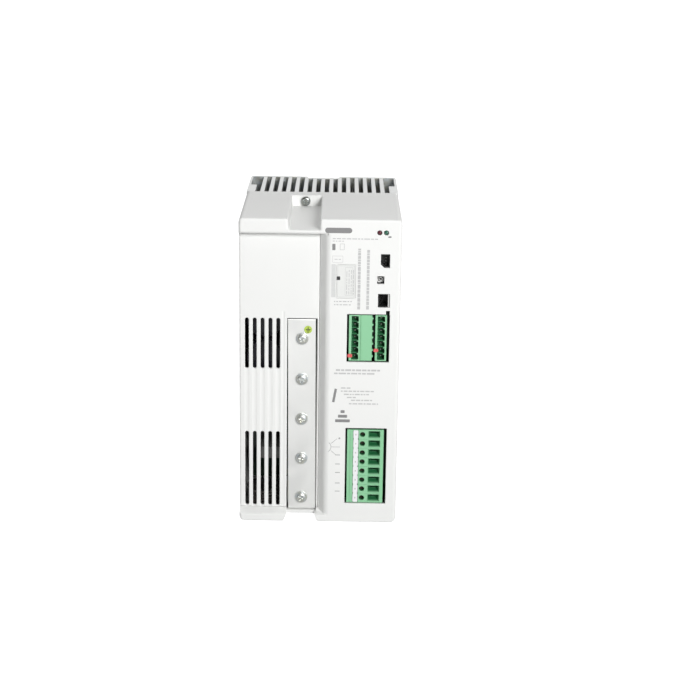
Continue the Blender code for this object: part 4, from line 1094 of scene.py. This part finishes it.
def make_plug():
    x, y, z = across("power_plug")
    plug = brick("power_terminal", x, y, z)
    soften(plug, 0.35, 3)
    marker_x = across("marker_strip")[0]
    screw_x = centre_of("terminal_screw_1").x
    entry_x = (39.5, 48.8)
    cutters = [brick("marker_groove", (marker_x[0] - 0.3, marker_x[1] + 0.3), (y[0] - 2, y[0] + 1.2),
                     (z[0] + 0.4, z[1] - 0.4)),
               brick("step", (x[0] - 1, 25.4), (y[0] - 2, y[0] + 0.5), (z[0] - 1, z[1] + 1)),
               brick("flange_step", (50.0, x[1] + 1), (y[0] - 2, y[0] + 0.5), (z[0] - 1, z[1] + 1))]
    for at in poles(z, 8, POWER_PITCH):
        cutters.append(mouth("well", circle(screw_x, at, 2.1), (y[0], y[0] + 11), 0.25))
        low, high = at - 2.85, at + 2.85
        mouth_ring = rectangle(entry_x, (low, high), 0.25)
        rings = [lying(mouth_ring(0.15), "Y", y[0] - 1), lying(mouth_ring(0.15), "Y", y[0]),
                 lying(mouth_ring(), "Y", y[0] + 0.25),
                 lying(rectangle((41.4, 46.9), (at - 1.2, high - 0.1), 0.25)(), "Y", y[0] + 6)]
        cutters.append(loft("funnel", rings))
        throat = rectangle((41.7, 46.6), (at - 0.4, high - 0.3), 0.3)()
        cutters.append(prism("throat", throat, (y[0] + 5, y[0] + 13)))
        cutters.append(prism("socket", circle(SOCKET_X, at, 1.3, 16)(), (y[1] - 9, y[1] + 1)))
        seam = at + POWER_PITCH / 2
        cutters.append(brick("seam", (32.0, x[1] + 1), (y[0] - 1, y[0] + 0.35), (seam - 0.08, seam + 0.08)))
    carve(plug, *cutters)
    # painted shade: the funnels and wells darken towards this dark green by 2.7 mm behind the face
    green = painted_recess_shade("terminal_green_painted_shade", GREEN, (0.02, 0.15, 0.055), y[0], (0.55, 2.7)).material
    done(plug, green, "plug", "green_plastic", "power_plug")


def make_terminal_screws():
    for number in range(1, 9):
        node = f"terminal_screw_{number}"
        x, y, z = across(node)
        start = y[0] + 1.6
        centre = (sum(x) / 2, 0, sum(z) / 2)
        screw = lathe(f"clamp_screw_{number}", centre,
                      [(0, start), (1.45, start), (1.7, start + 0.3), (1.7, y[1]), (0, y[1])], 28)
        slot = brick("slot", (-2, 2), (start - 1, start + 0.9), (-0.28, 0.28))
        carve(screw, spin(slot, centre, 0.5 + number * 1.9))
        done(screw, M["dark_screw"], node, "zinc_steel", node)


def make_marker_strip():
    """White marker tags in a row, nicked on both sides between one pole and the next."""
    x, y, _ = across("marker_strip")
    rows = poles(across("power_plug")[2], 8, POWER_PITCH)
    half = POWER_PITCH / 2
    corners = []
    for edge, way in ((x[1], 1), (x[0], -1)):
        nick = edge - 0.5 * way
        for at in rows[::way]:
            start, end = at - half * way, at + half * way
            corners += [(nick, start + 0.25 * way, 0.2), (edge, start + 0.9 * way, 0.5),
                        (edge, end - 0.9 * way, 0.5), (nick, end - 0.25 * way, 0.2)]
    strip = prism("marker_tags", rounded_path(corners, 3), y)
    soften(strip, 0.12, 2, angle=60)
    done(strip, M["marker"], "plug", "marker_white", "marker_strip")
    marks = [rectangle((sum(x) / 2 - 0.45, sum(x) / 2 + 0.45), (at - 0.7, at + 0.7), 0.2)() for at in rows]
    print_marks("marker_print", marks, "light_ink", "marker_white", flat(y[0]), "plug")


def make_plug_header():
    x, y, z = across("power_header")
    body_front = across("power_plug")[1][1] + 0.3
    header = brick("board_header", x, (body_front, y[1]), z)
    soften(header, 0.3, 2)
    done(header, M["green"], "drive", "green_plastic", "power_header")
    profile = [(0, y[0]), (0.45, y[0]), (0.9, y[0] + 0.9), (0.9, body_front + 1), (0, body_front + 1)]
    pins = [lathe("pin", (SOCKET_X, 0, at), profile, 20) for at in poles(z, 8, POWER_PITCH)]
    done(joined("board_header_pins", pins), M["tin"], "drive", "zinc_steel")


# ---------------------------------------------------------------- heatsink, rear plate and fans
FIN_PITCH = 7.1


def make_heatsink():
    """One extrusion: base, fins and the two corner blocks, then cut for the hood and the fans."""
    x, y, z = across("heatsink")
    hood_back = extent("hood")[1].y
    base_x = (x[0] + 2.3, x[1] - 2.3)
    root = hood_back + 0.3
    tip = 0.7
    corners = [(base_x[0], y[0], 0), (base_x[1], y[0], 0), (base_x[1], root, 0), (x[1], root, 0),
               (x[1], y[1], 0.6), (x[1] - 2, y[1], 0.6), (x[1] - 2, root + 30, 0.5),
               (x[1] - 7, root + 30, 0.8), (x[1] - 7, root, 0.8)]
    for index in reversed(range(15)):
        at = (index - 7) * FIN_PITCH
        corners += [(at + 1.7, root, 0.8), (at + 1.55, y[1], tip), (at - 1.55, y[1], tip),
                    (at - 1.7, root, 0.8)]
    corners += [(x[0] + 7, root, 0.8), (x[0] + 7, root + 30, 0.8), (x[0] + 2, root + 30, 0.5),
                (x[0] + 2, y[1], 0.6), (x[0], y[1], 0.6), (x[0], root, 0), (base_x[0], root, 0)]
    sink = prism("heatsink_extrusion", rounded_path(corners, 4), z, "Z")
    wide = (x[0] - 5, x[1] + 5)
    hood_z = (z[0] + 2.3, z[1] - 2.3)
    carve(sink, brick("top_step", wide, (y[0] - 5, root - 0.02), (hood_z[1], z[1] + 5)),
          brick("bottom_step", wide, (y[0] - 5, root - 0.02), (z[0] - 5, hood_z[0])),
          brick("fan_bay", (x[0] + 2, x[1] - 2), (root + 0.1, y[1] + 5), (z[0] - 5, 28.5)))
    screw = centre_of("hood_screw")
    carve(sink, prism("tapping", circle(screw.x, screw.z, 1.8)(), (y[0] - 5, y[0] + 10)))
    done(sink, M["aluminium"], "drive", "aluminium", "heatsink", sharp=30)


def make_rear_plate():
    """The steel plate behind the fins: four fixing holes and a shallow step in its top edge."""
    x, y, z = across("rear_plate")
    half, step = 13.5, 1.2
    outline = rounded_path([(x[0], z[0], 1.5), (x[1], z[0], 1.5), (x[1], z[1], 1.5), (half, z[1], 0.5),
                            (half, z[1] - step, 0.5), (-half, z[1] - step, 0.5), (-half, z[1], 0.5),
                            (x[0], z[1], 1.5)])
    plate = prism("wall_plate", outline, y)
    holes = [prism("fixing", circle(side * 46.15, at, 2.5)(), (y[0] - 1, y[1] + 1))
             for side in (-1, 1) for at in (14, 225)]
    carve(plate, *holes)
    soften(plate, 0.3, 2, angle=60)
    done(plate, M["rear_zinc"], "drive", "zinc_steel", "rear_plate")


def make_fan_frame(side):
    node = "fan_frame_" + side
    x, y, z = across(node)
    centre = (sum(x) / 2, sum(y) / 2)
    frame_body = prism("fan_case_" + side, rectangle(x, y, 3.0, 5)(), z, "Z")
    bore = 28.5
    funnel = [(0, z[0] - 1), (bore + 0.8, z[0] - 1), (bore + 0.8, z[0]), (bore, z[0] + 1.2), (bore, z[1] - 2),
              (bore + 0.9, z[1]), (bore + 0.9, z[1] + 1), (0, z[1] + 1)]
    cutters = [lathe("bore", (*centre, 0), funnel, 72, "Z")]
    for sx in (-1, 1):
        for sy in (-1, 1):
            at = (centre[0] + sx * 25, centre[1] + sy * 25)
            cutters.append(prism("screw_hole", circle(*at, 2.1, 20)(), (z[0] - 1, z[1] + 1), "Z"))
            waist = (centre[0] + sx * 29.8, centre[1] + sy * 29.8)
            cutters.append(prism("waist", circle(*waist, 8.6, 24)(), (z[0] + 4, z[1] - 4), "Z"))
    carve(frame_body, *cutters)
    cup = [(0, z[0]), (14, z[0]), (14.4, z[0] + 0.4), (14.4, z[0] + 2), (0, z[0] + 2)]
    grown = [lathe("hub_cup", (*centre, 0), cup, 48, "Z")]
    for index in range(3):
        strut = brick("strut", (12, bore + 1), (-1.5, 1.5), (z[0] + 0.1, z[0] + 1.9))
        grown.append(spin(strut, (*centre, 0), math.radians(35 + 120 * index), "Z"))
    weld(frame_body, *grown)
    carve(frame_body, prism("bearing", circle(*centre, 1.9, 20)(), (z[0] - 1, z[0] + 3), "Z"))
    done(frame_body, M["black"], "drive", "black_plastic", node)


def fan_blade(inner, outer, low, high, thick=1.1):
    """One swept, twisted blade about the Z axis, from the hub to the tip."""
    rings = []
    stations = 7
    for station in range(stations):
        share = station / (stations - 1)
        radius = inner + (outer - inner) * share
        sweep = math.radians(14) * share
        spread = math.radians(46 - 6 * share)
        upper, lower = [], []
        for step in range(9):
            along = step / 8
            angle = sweep + spread * (along - 0.5)
            camber = math.sin(math.pi * along) * 1.4
            height = low + (high - low) * (1 - along) + camber
            half = thick / 2 * (0.35 + 0.65 * math.sin(math.pi * (0.1 + 0.8 * along)))
            upper.append((radius * math.cos(angle), radius * math.sin(angle), height + half))
            lower.append((radius * math.cos(angle), radius * math.sin(angle), height - half))
        rings.append(upper + list(reversed(lower)))
    return loft("blade", rings)


def make_fan_rotor(side):
    node = "fan_rotor_" + side
    x, y, z = across(node)
    centre = Vector((sum(x) / 2, sum(y) / 2, 0))
    foot = z[0] + 2
    hub = 13
    profile = [(0, z[0]), (1.4, z[0]), (1.4, foot), (hub - 0.6, foot), (hub, foot + 0.6), (hub, z[1] - 1.2),
               (hub - 1.2, z[1]), (hub - 3, z[1]), (hub - 3.2, z[1] - 0.3), (0, z[1] - 0.3)]
    rotor = lathe("fan_wheel_" + side, centre, profile, 56, "Z")
    weld(rotor, *[spin(fan_blade(hub - 1, 26.9, foot + 1.5, z[1] - 3.2), centre, 2 * math.pi * index / 7, "Z")
                  for index in range(7)])
    done(rotor, M["black"], "fan_" + side, "black_plastic", node)


# ---------------------------------------------------------------- inside
def make_choke():
    """Turns of heavy wire, side by side, on a bobbin with a flange at each end."""
    x, y, z = across("mains_choke")
    centre = (sum(x) / 2, sum(y) / 2, 0)
    turns, wire, radius = 6, 2.4, (x[1] - x[0]) / 2
    start = z[0] + 1.5
    profile = [(0, start), (radius - 2.6, start)]
    for turn in range(turns):
        middle = start + wire * (turn + 0.5)
        for step in range(7):
            angle = math.pi * step / 6
            profile.append((radius - 1.8 + math.sin(angle) * wire / 2,
                            middle - math.cos(angle) * wire / 2 * 0.98))
    profile += [(radius - 2.6, start + turns * wire), (0, start + turns * wire)]
    coil = lathe("choke_coil", centre, profile, 48, "Z")
    done(coil, M["copper"], "drive", "copper", "mains_choke")
    flange = [(0, 0), (radius - 0.3, 0), (radius, 0.3), (radius, 1.0), (radius - 0.3, 1.3), (0, 1.3)]
    flanges = [lathe("flange", (*centre[:2], low), flange, 48, "Z") for low in (z[0] + 0.1, z[1] - 1.4)]
    done(joined("choke_bobbin", flanges), M["black"], "drive", "black_plastic")


def make_capacitors():
    """Cans in shrunk sleeves, with a rolled rim and a scored vent on the end."""
    for number in range(1, 5):
        node = f"link_capacitor_{number}"
        x, y, z = across(node)
        radius = (x[1] - x[0]) / 2
        centre = (sum(x) / 2, 0, sum(z) / 2)
        end = y[0] + 0.6
        profile = [(0, end), (radius - 3, end), (radius - 2.6, y[0] + 0.15), (radius - 1.2, y[0]),
                   (radius - 0.3, y[0] + 0.4), (radius, y[0] + 1.2), (radius, y[1] - 5),
                   (radius - 0.9, y[1] - 4), (radius - 0.9, y[1] - 3.2), (radius, y[1] - 2.4),
                   (radius - 0.2, y[1] - 0.2), (radius - 0.6, y[1]), (0, y[1])]
        can = lathe(f"bus_capacitor_{number}", centre, profile, 48)
        carve(can, *[spin(brick("vent", (-6, 6), (end - 1, end + 0.25), (-0.25, 0.25)), centre, turn)
                     for turn in (0.4, 0.4 + math.pi / 2)])
        done(can, M["sleeve"], "drive", "black_plastic", node)


KEPT = {  # the material of each CAD node that stays as it is
    "board": ("control_board", "terminal_board", "power_board"),
    "black": ("board_connector", "terminal_riser", "inrush_relay", "igbt_module", "rectifier_module"),
    "zinc": ("standoff_1", "standoff_2", "standoff_3", "standoff_4"),
    "rear_zinc": ("plate_bracket",),
    "sheath": ("film_capacitor",),
    "ferrite": ("supply_transformer",),
}


def dress_kept_nodes():
    for key, nodes in KEPT.items():
        for node in nodes:
            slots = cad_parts[node].data.materials
            slots.clear()
            slots.append(M[key])


make_hood()
make_cover()
make_plate()
make_screws()
make_labels()
make_print()
make_lights()
make_aux_port()
make_button()
make_jack()
make_headers()
make_plug()
make_terminal_screws()
make_marker_strip()
make_plug_header()
make_heatsink()
make_rear_plate()
for hand in ("left", "right"):
    make_fan_frame(hand)
    make_fan_rotor(hand)
make_choke()
make_capacitors()
dress_kept_nodes()
